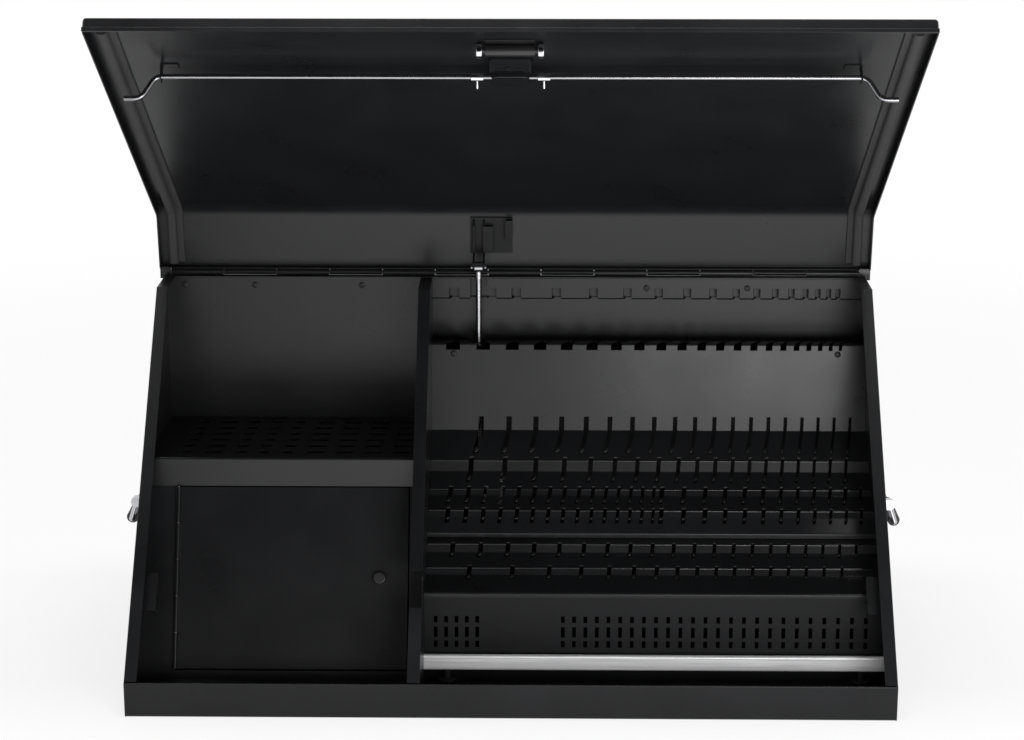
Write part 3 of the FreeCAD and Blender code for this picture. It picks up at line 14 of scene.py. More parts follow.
import bmesh
import bpy
import numpy as np
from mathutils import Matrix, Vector

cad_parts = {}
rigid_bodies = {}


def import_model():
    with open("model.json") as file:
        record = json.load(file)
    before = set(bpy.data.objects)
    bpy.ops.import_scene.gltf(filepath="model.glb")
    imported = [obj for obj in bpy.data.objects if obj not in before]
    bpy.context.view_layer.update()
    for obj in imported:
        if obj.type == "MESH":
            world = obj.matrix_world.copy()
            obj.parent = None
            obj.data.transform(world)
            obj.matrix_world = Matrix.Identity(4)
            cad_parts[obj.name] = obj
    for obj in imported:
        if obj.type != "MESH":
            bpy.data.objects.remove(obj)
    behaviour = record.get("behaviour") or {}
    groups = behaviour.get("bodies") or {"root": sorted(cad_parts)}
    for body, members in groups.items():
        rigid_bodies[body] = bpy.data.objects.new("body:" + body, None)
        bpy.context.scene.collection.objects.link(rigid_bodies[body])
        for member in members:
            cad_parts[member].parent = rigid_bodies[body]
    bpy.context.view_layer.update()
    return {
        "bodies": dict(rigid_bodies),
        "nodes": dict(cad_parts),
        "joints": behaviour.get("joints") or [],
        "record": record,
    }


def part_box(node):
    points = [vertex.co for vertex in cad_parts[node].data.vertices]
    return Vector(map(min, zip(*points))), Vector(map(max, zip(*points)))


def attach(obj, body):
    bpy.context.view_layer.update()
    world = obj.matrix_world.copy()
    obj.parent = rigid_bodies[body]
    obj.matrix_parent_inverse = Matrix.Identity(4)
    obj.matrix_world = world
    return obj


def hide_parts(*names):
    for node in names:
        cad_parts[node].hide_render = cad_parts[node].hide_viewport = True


LOG = logging.getLogger("toolbox")
Array = np.ndarray
MM = 0.001
EVEN = (1.0, 1.0, 1.0)
NOISE_SPAN = (0.3, 0.7)
TINT_SPAN = (0.35, 0.65)
NOISE_ROUGHNESS = 0.55
SHARP_ANGLE = math.radians(38)
MERGE_DISTANCE = 1e-7


class Body(str, Enum):
    """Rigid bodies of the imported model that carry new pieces."""

    CHEST = "chest"
    LID = "lid"
    ROD_LEFT = "rod_left"
    ROD_RIGHT = "rod_right"
    BAIL_LEFT = "bail_left"
    BAIL_RIGHT = "bail_right"


class Slot(str, Enum):
    """Material slots of the record."""

    PAINT = "black_paint"
    GLOSS = "gloss_black"
    DARK = "dark_hardware"
    CHROME = "chrome"
    ZINC = "zinc"
    RUBBER = "black_rubber"
    BAR = "bright_bar"


class Side(Enum):
    """Left and right, as the sign of X."""

    LEFT = -1
    RIGHT = 1

    @property
    def word(self) -> str:
        """Name used at the end of piece names."""
        return self.name.lower()


@dataclass
class NodeTree:
    """Small helper around one material's node tree."""

    material: bpy.types.Material

    def add(self, kind: str, **sockets: object) -> bpy.types.Node:
        """Add a node and set its named input sockets.

        Args:
            kind: Blender's type name of the node.
            **sockets: values by socket name, with underscores for spaces.

        Returns:
            The new node.
        """
        node = self.material.node_tree.nodes.new(kind)
        for name, value in sockets.items():
            node.inputs[name.replace("_", " ")].default_value = value
        return node

    def link(self, source: bpy.types.NodeSocket, target: bpy.types.NodeSocket) -> None:
        """Join an output socket to an input socket."""
        self.material.node_tree.links.new(source, target)

    def place(self, scale: tuple[float, float, float]) -> bpy.types.NodeSocket:
        """Object coordinates stretched by a scale along each axis.

        Args:
            scale: how much finer the pattern is along X, Y and Z.

        Returns:
            The output socket of the mapping.
        """
        coordinates = self.add("ShaderNodeTexCoord")
        mapping = self.add("ShaderNodeMapping", Scale=scale)
        self.link(coordinates.outputs["Object"], mapping.inputs["Vector"])
        return mapping.outputs["Vector"]

    def noise(self, scale: float, detail: float, stretch: tuple[float, float, float]) -> bpy.types.NodeSocket:
        """Value of a noise pattern on object coordinates."""
        texture = self.add("ShaderNodeTexNoise", Scale=scale, Detail=detail, Roughness=NOISE_ROUGHNESS)
        self.link(self.place(stretch), texture.inputs["Vector"])
        return texture.outputs["Fac"]

    def spread(self, source: bpy.types.NodeSocket, low: float, high: float) -> bpy.types.NodeSocket:
        """Map a pattern's middle values onto a range."""
        node = self.add("ShaderNodeMapRange")
        names = ("From Min", "From Max", "To Min", "To Max")
        for name, value in zip(names, (*NOISE_SPAN, low, high)):
            node.inputs[name].default_value = value
        self.link(source, node.inputs["Value"])
        return node.outputs["Result"]

    def tint(self, source: bpy.types.NodeSocket, dark: tuple, light: tuple) -> bpy.types.NodeSocket:
        """Blend two colours by a pattern."""
        ramp = self.add("ShaderNodeValToRGB")
        for stop, position, colour in zip(ramp.color_ramp.elements, TINT_SPAN, (dark, light)):
            stop.position = position
            stop.color = (*colour, 1.0)
        self.link(source, ramp.inputs["Fac"])
        return ramp.outputs["Color"]

    def bump(self, source: bpy.types.NodeSocket, distance: float, strength: float,
             under: bpy.types.NodeSocket | None = None) -> bpy.types.NodeSocket:
        """Bump from a pattern, on top of another normal if one is given."""
        node = self.add("ShaderNodeBump", Strength=strength, Distance=distance)
        self.link(source, node.inputs["Height"])
        if under is not None:
            self.link(under, node.inputs["Normal"])
        return node.outputs["Normal"]


@dataclass(frozen=True)
class Finish:
    """Base of the finishes: a name, a colour and how shiny it is."""

    name: str
    colour: tuple[float, float, float]
    roughness: float
    metallic: float = 0.0

    def material(self) -> bpy.types.Material:
        """Make the material once and find it again afterwards.

        Returns:
            The material.
        """
        found = bpy.data.materials.get(self.name)
        if found is not None:
            return found
        made = bpy.data.materials.new(self.name)
        made.use_nodes = True
        tree = NodeTree(made)
        shader = made.node_tree.nodes["Principled BSDF"]
        shader.inputs["Base Color"].default_value = (*self.colour, 1.0)
        shader.inputs["Roughness"].default_value = self.roughness
        shader.inputs["Metallic"].default_value = self.metallic
        made.diffuse_color = (*self.colour, 1.0)
        self.dress(tree, shader)
        return made

    def dress(self, tree: NodeTree, shader: bpy.types.Node) -> None:
        """Add the pattern of the finish; each kind has its own."""
        raise NotImplementedError

    def shade(self, factor: float) -> tuple[float, float, float]:
        """The colour, lighter or darker by a factor."""
        return tuple(min(1.0, c * factor) for c in self.colour)


@dataclass(frozen=True)
class PowderCoat(Finish):
    """Baked powder coat: fine orange peel, slow drift in gloss, softened sheet edges."""

    grain: float = 900.0
    peel: float = 0.000012
    peel_strength: float = 0.5
    edge: float = 0.0007
    edge_samples: int = 4
    drift: float = 0.04
    drift_scale: float = 9.0
    tone: float = 0.12
    specular: float = 0.5

    def dress(self, tree: NodeTree, shader: bpy.types.Node) -> None:
        """Grain as bump, two scales of noise in roughness and colour, rounded edges."""
        shader.inputs["Specular IOR Level"].default_value = self.specular
        grain = tree.noise(self.grain, 2.0, EVEN)
        cloud = tree.noise(self.drift_scale, 4.0, EVEN)
        tint = tree.tint(cloud, self.shade(1 - self.tone), self.shade(1 + self.tone))
        tree.link(tint, shader.inputs["Base Color"])
        gloss = tree.spread(cloud, self.roughness - self.drift, self.roughness + self.drift)
        tree.link(gloss, shader.inputs["Roughness"])
        soft = tree.add("ShaderNodeBevel", Radius=self.edge)
        soft.samples = self.edge_samples
        peeled = tree.bump(grain, self.peel, self.peel_strength, soft.outputs["Normal"])
        tree.link(peeled, shader.inputs["Normal"])


@dataclass(frozen=True)
class Plated(Finish):
    """Bright plating with faint handling haze and hairline scratches."""

    haze: float = 0.05
    haze_scale: float = 60.0
    haze_tone: float = 0.92
    scratch_scale: float = 500.0
    scratch_stretch: tuple[float, float, float] = (0.08, 1.0, 1.0)
    scratch_depth: float = 0.00002
    scratch_strength: float = 0.25

    def dress(self, tree: NodeTree, shader: bpy.types.Node) -> None:
        """Haze in roughness, stretched noise as scratches."""
        cloud = tree.noise(self.haze_scale, 4.0, EVEN)
        scratch = tree.noise(self.scratch_scale, 2.0, self.scratch_stretch)
        tree.link(tree.spread(cloud, self.roughness, self.roughness + self.haze), shader.inputs["Roughness"])
        tree.link(tree.tint(cloud, self.shade(self.haze_tone), self.colour), shader.inputs["Base Color"])
        tree.link(tree.bump(scratch, self.scratch_depth, self.scratch_strength), shader.inputs["Normal"])


@dataclass(frozen=True)
class Brushed(Finish):
    """Metal brushed along X."""

    streak_scale: float = 900.0
    streak_stretch: tuple[float, float, float] = (0.012, 1.0, 1.0)
    streak_gloss: tuple[float, float] = (-0.07, 0.09)
    streak_tones: tuple[float, float] = (0.84, 1.05)
    streak_depth: float = 0.00003
    streak_strength: float = 0.35
    wave_scale: float = 25.0
    wave_depth: float = 0.0001
    wave_strength: float = 0.15

    def dress(self, tree: NodeTree, shader: bpy.types.Node) -> None:
        """Long streaks in roughness, tone and bump."""
        streak = tree.noise(self.streak_scale, 3.0, self.streak_stretch)
        wave = tree.noise(self.wave_scale, 3.0, EVEN)
        low, high = (self.roughness + change for change in self.streak_gloss)
        tree.link(tree.spread(streak, low, high), shader.inputs["Roughness"])
        dark, light = (self.shade(tone) for tone in self.streak_tones)
        tree.link(tree.tint(streak, dark, light), shader.inputs["Base Color"])
        under = tree.bump(wave, self.wave_depth, self.wave_strength)
        brushed = tree.bump(streak, self.streak_depth, self.streak_strength, under)
        tree.link(brushed, shader.inputs["Normal"])


@dataclass(frozen=True)
class Moulded(Finish):
    """Rubber or plastic with a fine moulded grain."""

    grain: float = 700.0
    depth: float = 0.00006
    strength: float = 0.6
    gloss_change: float = 0.06
    tone_scale: float = 30.0
    tones: tuple[float, float] = (0.8, 1.3)

    def dress(self, tree: NodeTree, shader: bpy.types.Node) -> None:
        """Grain as bump and a slow drift in tone and gloss."""
        grain = tree.noise(self.grain, 3.0, EVEN)
        cloud = tree.noise(self.tone_scale, 4.0, EVEN)
        dark, light = (self.shade(tone) for tone in self.tones)
        tree.link(tree.tint(cloud, dark, light), shader.inputs["Base Color"])
        gloss = tree.spread(grain, self.roughness - self.gloss_change, self.roughness + self.gloss_change)
        tree.link(gloss, shader.inputs["Roughness"])
        tree.link(tree.bump(grain, self.depth, self.strength), shader.inputs["Normal"])


PAINT = PowderCoat("powder_coat_black", (0.0085, 0.0088, 0.0096), 0.3, specular=0.22)
GLOSS = PowderCoat("gloss_black_paint", (0.009, 0.009, 0.0095), 0.2, grain=500.0, peel=0.00001, specular=0.35)
DARK = PowderCoat("black_oxide", (0.02, 0.02, 0.021), 0.38, metallic=0.4, peel=0.00001, specular=0.4)
CHROME = Plated("chrome_plate", (0.5, 0.5, 0.52), 0.16, metallic=1.0)
STEEL_ROD = Plated("ground_rod", (0.3, 0.3, 0.31), 0.24, metallic=1.0)
ROD_PLATE = Plated("rod_plate", (0.24, 0.24, 0.25), 0.24, metallic=1.0)
ZINC = Plated("zinc_plate", (0.3, 0.3, 0.31), 0.34, metallic=1.0, haze=0.12)
BAR = Brushed("brushed_bar", (0.84, 0.84, 0.85), 0.4, metallic=0.35)
RUBBER = Moulded("black_rubber", (0.012, 0.012, 0.013), 0.6)
GRIP = Moulded("black_grip", (0.016, 0.016, 0.017), 0.5, grain=1200.0)

SLOT_FINISH: dict[Slot, Finish] = {
    Slot.PAINT: PAINT, Slot.GLOSS: GLOSS, Slot.DARK: DARK, Slot.CHROME: CHROME,
    Slot.ZINC: ZINC, Slot.RUBBER: RUBBER, Slot.BAR: BAR,
}
DULL = PowderCoat("flat_black_coat", (0.0085, 0.0088, 0.0096), 0.42, specular=0.1)
NODE_FINISH: dict[str, Finish] = {"strut_rod": STEEL_ROD, "bit_panel": DULL, "strut_lid_bracket": DULL}


@dataclass
class Surface:
    """Vertices and four-sided faces of a mesh worked out as whole arrays."""

    points: Array
    quads: Array

    @staticmethod
    def grid(points: Array, wrap: bool = False) -> "Surface":
        """Surface over a grid of points.

        Args:
            points: array of shape (rows, columns, 3).
            wrap: join the last column to the first.

        Returns:
            The surface; each face takes one step along the rows and one along the columns.
        """
        rows, columns = points.shape[:2]
        index = np.arange(rows * columns).reshape(rows, columns)
        if wrap:
            index = np.hstack([index, index[:, :1]])
        quads = np.stack([index[:-1, :-1], index[1:, :-1], index[1:, 1:], index[:-1, 1:]], axis=-1)
        return Surface(points.reshape(-1, 3), quads.reshape(-1, 4))

    @staticmethod
    def joined(parts: list["Surface"]) -> "Surface":
        """Several surfaces as one."""
        starts = np.cumsum([0] + [len(p.points) for p in parts[:-1]])
        quads = [p.quads + start for p, start in zip(parts, starts)]
        return Surface(np.vstack([p.points for p in parts]), np.vstack(quads))

    def turned_out(self) -> "Surface":
        """The same surface with its faces pointing the other way."""
        return Surface(self.points, self.quads[:, ::-1])

    def make(self, name: str, finish: Finish, body: Body, slot: Slot) -> bpy.types.Object:
        """Put the surface into a mesh object that rides on a body.

        Args:
            name: name of the piece.
            finish: finish whose material it gets.
            body: body that it moves with.
            slot: slot of the record that it belongs to; not used.

        Returns:
            The new object, at the origin, with its place in its mesh.
        """
        mesh = bpy.data.meshes.new(name)
        mesh.from_pydata(self.points.tolist(), [], self.quads.tolist())
        mesh.update()
        made = bpy.data.objects.new(name, mesh)
        bpy.context.scene.collection.objects.link(made)
        clean_mesh(made)
        mesh.polygons.foreach_set("use_smooth", np.ones(len(mesh.polygons), bool))
        mesh.set_sharp_from_angle(angle=SHARP_ANGLE)
        mesh.materials.append(finish.material())
        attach(made, body.value)
        LOG.info("%s: %d faces on %s", name, len(mesh.polygons), body.value)
        return made


def clean_mesh(piece: bpy.types.Object) -> None:
    """Merge doubled points, close up collapsed faces and turn all faces outwards."""
    work = bmesh.new()
    work.from_mesh(piece.data)
    bmesh.ops.remove_doubles(work, verts=work.verts, dist=MERGE_DISTANCE)
    bmesh.ops.dissolve_degenerate(work, dist=MERGE_DISTANCE, edges=work.edges)
    bmesh.ops.recalc_face_normals(work, faces=work.faces)
    work.to_mesh(piece.data)
    work.free()


def across(direction: Array) -> tuple[Array, Array]:
    """Two unit directions square to a direction and to each other."""
    helper = np.array([1.0, 0.0, 0.0]) if abs(direction[0]) < 0.9 else np.array([0.0, 0.0, 1.0])
    first = np.cross(direction, helper)
    first = first / np.linalg.norm(first)
    return first, np.cross(direction, first)


def turned(profile: Array, base: Array, axis: Array, count: int) -> Surface:
    """Body of revolution.

    Each profile point is a radius and a height; the surface is
    base + axis * height + radius * (cos t * first + sin t * second), with t once round.

    Args:
        profile: array of shape (n, 2).
        base: point on the axis at height zero.
        axis: direction of growing height.
        count: points round the axis.

    Returns:
        The surface, closed at its poles when the profile starts and ends at radius zero.
    """
    axis = np.asarray(axis, float) / np.linalg.norm(axis)
    first, second = across(axis)
    t = np.linspace(0, 2 * np.pi, count, endpoint=False)[None, :, None]
    radius = profile[:, 0][:, None, None]
    height = profile[:, 1][:, None, None]
    points = np.asarray(base, float) + axis * height + radius * (np.cos(t) * first + np.sin(t) * second)
    return Surface.grid(points, wrap=True)


def swept(path: Array, section: Array, up: Array | tuple[float, float, float]) -> Surface:
    """Closed section carried along a path with flat ends.

    Each point is path + section x * side + section y * up, where side is square to the
    path's direction and to up.

    Args:
        path: array of shape (n, 3).
        section: array of shape (m, 2), in order round the section.
        up: direction of the section's second axis, the same all along or one per point.

    Returns:
        The surface.
    """
    along = np.gradient(path, axis=0)
    along = along / np.linalg.norm(along, axis=1, keepdims=True)
    up = np.broadcast_to(np.asarray(up, float), path.shape)
    side = np.cross(along, up)
    side = side / np.linalg.norm(side, axis=1, keepdims=True)
    square = np.cross(side, along)
    points = (path[:, None] + section[None, :, :1] * side[:, None] + section[None, :, 1:] * square[:, None])
    first = np.repeat(points[:1].mean(axis=1, keepdims=True), len(section), axis=1)
    last = np.repeat(points[-1:].mean(axis=1, keepdims=True), len(section), axis=1)
    return Surface.grid(np.concatenate([first, points, last]), wrap=True)


def ring_section(radius: float, count: int) -> Array:
    """Points of a circle: radius * (cos t, sin t)."""
    t = np.linspace(0, 2 * np.pi, count, endpoint=False)
    return radius * np.stack([np.cos(t), np.sin(t)], axis=1)


@dataclass(frozen=True)
class Lid:
    """Places on the lid, measured up its slope and in from its outer face, with it open."""

    hinge: tuple[float, float, float]
    half_width: float = 464.5 * MM
    edge_y: float = -226.5 * MM
    top_z: float = 457.2 * MM
    bend_y: float = 130.54 * MM
    rear_y: float = 212.5 * MM
    bend_radius: float = 25.0 * MM
    slope: float = math.radians(48.877)
    opening: float = math.radians(82.1)
    slope_steps: int = 40
    bend_steps: int = 24
    strip_steps: int = 12

    def opened(self, points: Array) -> Array:
        """Turn points of the closed lid about the hinge to where the lid stands open."""
        dy = points[..., 1] - self.hinge[1]
        dz = points[..., 2] - self.hinge[2]
        c, s = math.cos(self.opening), math.sin(self.opening)
        return np.stack([points[..., 0], self.hinge[1] + dy * c + dz * s,
                         self.hinge[2] - dy * s + dz * c], axis=-1)

    def turned(self, direction: tuple[float, float]) -> Array:
        """Turn a direction of the closed lid, given as Y and Z, with the lid."""
        y, z = direction
        c, s = math.cos(self.opening), math.sin(self.opening)
        return np.array([0.0, y * c + z * s, -y * s + z * c])

    @property
    def edge_z(self) -> float:
        """Height of the free edge with the lid closed."""
        return self.top_z - (self.bend_y - self.edge_y) * math.tan(self.slope)

    def at(self, x: float | Array, place: float | Array, depth: float | Array) -> Array:
        """Point of the open lid at a place up the slope and a depth in from its skin."""
        x, place, depth = np.broadcast_arrays(x, place, depth)
        c, s = math.cos(self.slope), math.sin(self.slope)
        y = self.edge_y + c * place + s * depth
        z = self.edge_z + s * place - c * depth
        return self.opened(np.stack([x, y, z], axis=-1).astype(float))

    @property
    def inward(self) -> Array:
        """Direction from the skin of the open lid's slope to its inside."""
        return self.turned((math.sin(self.slope), -math.cos(self.slope)))

    @property
    def upward(self) -> Array:
        """Direction up the slope of the open lid, from its free edge to its bend."""
        return self.turned((math.cos(self.slope), math.sin(self.slope)))

    def skin_line(self, start: float, end: float) -> tuple[Array, Array]:
        """Line on the outer skin from a place up the slope, round the bend, to the rear.

        The slope is a straight run, the bend an arc of the bend radius, the strip a straight run.

        Args:
            start: place up the slope where the line starts.
            end: gap left before the rear edge.

        Returns:
            Points of the closed lid as Y and Z, and the inward normal at each.
        """
        reach = self.bend_radius * math.tan(self.slope / 2)
        length = (self.bend_y - self.edge_y) / math.cos(self.slope)
        run = np.linspace(start, length - reach, self.slope_steps)
        slope = np.stack([self.edge_y + math.cos(self.slope) * run,
                          self.edge_z + math.sin(self.slope) * run], 1)
        normal = np.tile([math.sin(self.slope), -math.cos(self.slope)], (len(run), 1))
        t = np.linspace(self.slope, 0, self.bend_steps)[1:]
        centre = np.array([self.bend_y + reach, self.top_z - self.bend_radius])
        arc_normal = np.stack([np.sin(t), -np.cos(t)], 1)
        arc = centre - arc_normal * self.bend_radius
        strip_y = np.linspace(centre[0], self.rear_y - end, self.strip_steps)[1:]
        strip = np.stack([strip_y, np.full_like(strip_y, self.top_z)], 1)
        flat = np.tile([0.0, -1.0], (len(strip_y), 1))
        return np.vstack([slope, arc, strip]), np.vstack([normal, arc_normal, flat])


@dataclass
class Screws:
    """Pan-head screws and rivets: turned heads, the screws with a cross recess."""

    radius: float = 4.0 * MM
    height: float = 2.0 * MM
    rings: int = 12
    steps: int = 40
    crown: float = 0.8
    recess: float = 0.5
    bar_half: float = 0.13
    bar_reach: float = 0.55
    wall_start: float = 0.06
    wall: float = 0.08
    back_y: float = 211.0 * MM
    comb_y: float = 199.0 * MM
    upper_z: float = 429.2 * MM
    riser_y: float = 153.91 * MM
    riser_z: float = 352.09 * MM
    riser_lean: float = math.atan2(13.0, 114.0)
    shelf_x: tuple[float, ...] = (-432.0, -340.0, -200.0)
    comb_x: tuple[float, ...] = (172.0, 303.0)
    riser_x: tuple[float, ...] = (-78.0, 418.0)

    def build(self) -> None:
        """Make every screw head as one piece in place of the plain ones."""
        forward = np.array([0.0, -1.0, 0.0])
        leaning = np.array([0.0, -math.cos(self.riser_lean), math.sin(self.riser_lean)])
        rows = ((self.shelf_x, self.back_y, self.upper_z, forward),
                (self.comb_x, self.comb_y, self.upper_z, forward),
                (self.riser_x, self.riser_y, self.riser_z, leaning))
        heads = [self.cross_head(np.array([x * MM, y, z]), way) for places, y, z, way in rows for x in places]
        made = Surface.joined(heads).make("cross_screws", DARK, Body.CHEST, Slot.DARK)
        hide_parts("panel_screws")

    def cross_head(self, base: Array, outward: Array) -> Surface:
        """Screw head with a cross recess.

        The dome's height is h * sqrt(1 - crown * (r/R)^2); inside the cross of two bars it
        drops by a share of the height with a smooth wall.

        Args:
            base: centre of the seat.
            outward: direction away from the seat.

        Returns:
            The head's surface.
        """
        outward = np.asarray(outward, float) / np.linalg.norm(outward)
        first, second = across(outward)
        share = np.linspace(0, 1, self.rings)[:, None]
        t = np.linspace(0, 2 * np.pi, self.steps, endpoint=False)[None, :]
        x, y = share * np.cos(t), share * np.sin(t)
        bar = np.maximum(self.dip(x, self.bar_half) * self.dip(y, self.bar_reach),
                         self.dip(y, self.bar_half) * self.dip(x, self.bar_reach))
        height = self.height * (np.sqrt(1 - self.crown * share ** 2) - self.recess * bar)
        top = base + self.radius * (x[..., None] * first + y[..., None] * second)
        top = top + height[..., None] * outward
        rim = base + self.radius * (x[-1:, :, None] * first + y[-1:, :, None] * second)
        return Surface.grid(np.concatenate([top, rim]), wrap=True)

    def dip(self, value: Array, half: float) -> Array:
        """One inside a half width, falling smoothly to zero just outside it."""
        return np.clip((half + self.wall_start - np.abs(value)) / self.wall, 0, 1)


@dataclass(frozen=True)
class SoftLamp:
    """Rectangular lamp: where it hangs, what it aims at, its size in metres and its power in watts."""

    name: str
    place: tuple[float, float, float]
    target: tuple[float, float, float]
    size: tuple[float, float]
    power: float

    def hang(self) -> None:
        """Make the lamp; the camera doesn't see it."""
        light = bpy.data.lights.new(self.name, "AREA")
        light.shape = "RECTANGLE"
        light.size, light.size_y = self.size
        light.energy = self.power
        made = bpy.data.objects.new(self.name, light)
        made.location = self.place
        made.visible_camera = False
        aim = Vector(self.target) - Vector(self.place)
        made.rotation_euler = aim.to_track_quat("-Z", "Y").to_euler()
        bpy.context.scene.collection.objects.link(made)


LAMPS = (
    SoftLamp("top_softbox", (0.0, -0.35, 3.0), (0.0, -0.349, 0.0), (1.8, 0.6), 60.0),
    SoftLamp("floor_card", (0.2, -1.0, 0.02), (0.2, -0.999, 1.0), (1.4, 1.2), 9.0),
    SoftLamp("right_card", (0.66, -1.65, 0.38), (0.3, 0.15, 0.34), (0.9, 0.36), 15.0),
    SoftLamp("left_card", (-0.45, -1.65, 0.3), (-0.25, 0.15, 0.3), (0.8, 0.42), 2.5),
)


@dataclass
class Studio:
    """Plain white sweep, soft lamps and the camera at the photograph's place."""

    camera_place: tuple[float, float, float] = (0.0377, -2.8435, 1.1314)
    camera_pitch: float = 75.0
    camera_turn: float = 0.77
    camera_shift: float = 0.00137
    focal_pixels: float = 2393.5
    picture_width: float = 1024.0
    sensor: float = 36.0
    floor_half: float = 6.0
    floor_white: float = 0.93
    floor_glow: float = 0.75
    glow_near: float = 0.9
    glow_far: float = 2.6
    sky: float = 0.45
    flag_half: float = 3.0
    flag_front: float = -3.5
    flag_low: float = 0.02
    flag_high: float = 3.4
    flag_back: float = 1.0
    flag_bend: float = 0.6
    flag_black: float = 0.004
    clip_end: float = 50.0
    floor_roughness: float = 0.9

    def build(self) -> None:
        """Make the floor, the world, the lamps and the camera."""
        self.floor()
        self.world()
        self.flag()
        for lamp in LAMPS:
            lamp.hang()
        self.camera()

    @staticmethod
    def seen(nodes: bpy.types.Nodes, links: bpy.types.NodeLinks) -> bpy.types.NodeSocket:
        """One for camera, glossy and transmission rays, zero for the rest.

        Args:
            nodes: nodes of the tree that needs it.
            links: links of the same tree.

        Returns:
            The output socket.
        """
        path = nodes.new("ShaderNodeLightPath")
        output = path.outputs["Is Camera Ray"]
        for name in ("Is Glossy Ray", "Is Transmission Ray"):
            either = nodes.new("ShaderNodeMath")
            either.operation = "MAXIMUM"
            links.new(output, either.inputs[0])
            links.new(path.outputs[name], either.inputs[1])
            output = either.outputs[0]
        return output

    def floor(self) -> None:
        """White ground plane that takes the shadow near the chest and is plain white far off."""
        half = self.floor_half
        corners = np.array([[[-half, -half, 0.0], [half, -half, 0.0]],
                            [[-half, half, 0.0], [half, half, 0.0]]])
        mesh = bpy.data.meshes.new("floor")
        surface = Surface.grid(corners).turned_out()
        mesh.from_pydata(surface.points.tolist(), [], surface.quads.tolist())
        made = bpy.data.objects.new("floor", mesh)
        bpy.context.scene.collection.objects.link(made)
        material = bpy.data.materials.new("white_sweep")
        material.use_nodes = True
        nodes, links = material.node_tree.nodes, material.node_tree.links
        shader = nodes["Principled BSDF"]
        shader.inputs["Base Color"].default_value = (self.floor_white,) * 3 + (1.0,)
        shader.inputs["Roughness"].default_value = self.floor_roughness
        glow = nodes.new("ShaderNodeEmission")
        place = nodes.new("ShaderNodeTexCoord")
        far = nodes.new("ShaderNodeVectorMath")
        far.operation = "LENGTH"
        links.new(place.outputs["Object"], far.inputs[0])
        share = nodes.new("ShaderNodeMapRange")
        for name, value in (("From Min", self.glow_near), ("From Max", self.glow_far),
                            ("To Min", self.floor_glow), ("To Max", 1.0)):
            share.inputs[name].default_value = value
        links.new(far.outputs["Value"], share.inputs["Value"])
        factor = nodes.new("ShaderNodeMath")
        factor.operation = "MULTIPLY"
        links.new(share.outputs["Result"], factor.inputs[0])
        links.new(self.seen(nodes, links), factor.inputs[1])
        mix = nodes.new("ShaderNodeMixShader")
        links.new(factor.outputs[0], mix.inputs[0])
        links.new(shader.outputs["BSDF"], mix.inputs[1])
        links.new(glow.outputs["Emission"], mix.inputs[2])
        links.new(mix.outputs["Shader"], nodes["Material Output"].inputs["Surface"])
        mesh.materials.append(material)

    def flag(self) -> None:
        """Dark card in front of and over the chest that only reflections see.

        It stands up straight at the front and folds back over the camera in a smooth arc.
        """
        t = np.linspace(0.0, np.pi / 2, 12)
        arc = np.stack([self.flag_front + self.flag_bend - self.flag_bend * np.cos(t),
                        self.flag_high - self.flag_bend + self.flag_bend * np.sin(t)], 1)
        side = np.vstack([[[self.flag_front, self.flag_low]], arc, [[self.flag_back, self.flag_high]]])
        rows = [np.column_stack([np.full(len(side), x), side]) for x in (-self.flag_half, self.flag_half)]
        surface = Surface.grid(np.stack(rows))
        mesh = bpy.data.meshes.new("dark_card")
        mesh.from_pydata(surface.points.tolist(), [], surface.quads.tolist())
        made = bpy.data.objects.new("dark_card", mesh)
        bpy.context.scene.collection.objects.link(made)
        material = bpy.data.materials.new("dark_cloth")
        material.use_nodes = True
        shader = material.node_tree.nodes["Principled BSDF"]
        shader.inputs["Base Color"].default_value = (self.flag_black,) * 3 + (1.0,)
        shader.inputs["Roughness"].default_value = 1.0
        shader.inputs["Specular IOR Level"].default_value = 0.0
        mesh.materials.append(material)
        made.visible_camera = False
        made.visible_diffuse = False
        made.visible_shadow = False
        made.visible_transmission = False

    def world(self) -> None:
        """World that is white to the camera and in reflections, and dimmer as a lamp."""
        world = bpy.data.worlds.new("studio")
        bpy.context.scene.world = world
        world.use_nodes = True
        nodes, links = world.node_tree.nodes, world.node_tree.links
        background = nodes["Background"]
        background.inputs["Color"].default_value = (1.0, 1.0, 1.0, 1.0)
        strength = nodes.new("ShaderNodeMapRange")
        strength.inputs["To Min"].default_value = self.sky
        strength.inputs["To Max"].default_value = 1.0
        links.new(self.seen(nodes, links), strength.inputs["Value"])
        links.new(strength.outputs["Result"], background.inputs["Strength"])

    def camera(self) -> None:
        """Camera with the photograph's place, tilt and focal length."""
        lens = bpy.data.cameras.new("camera")
        lens.sensor_width = self.sensor
        lens.lens = self.focal_pixels / self.picture_width * self.sensor
        lens.shift_y = self.camera_shift
        lens.clip_end = self.clip_end
        made = bpy.data.objects.new("camera", lens)
        made.location = self.camera_place
        made.rotation_euler = (math.radians(self.camera_pitch), 0.0, math.radians(self.camera_turn))
        bpy.context.scene.collection.objects.link(made)
        bpy.context.scene.camera = made


@dataclass
class SteelWork:
    """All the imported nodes, dressed by their slots."""

    frame: dict

    def dress(self) -> None:
        """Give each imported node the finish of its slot."""
        slots = {part["node"]: Slot(part["material_slot"]) for part in self.frame["record"]["subparts"]}
        for name, node in self.frame["nodes"].items():
            finish = NODE_FINISH.get(name, SLOT_FINISH[slots[name]])
            node.data.materials.clear()
            node.data.materials.append(finish.material())
            node.data.polygons.foreach_set("material_index", np.zeros(len(node.data.polygons), np.int32))
            LOG.info("%s: %s", name, finish.name)


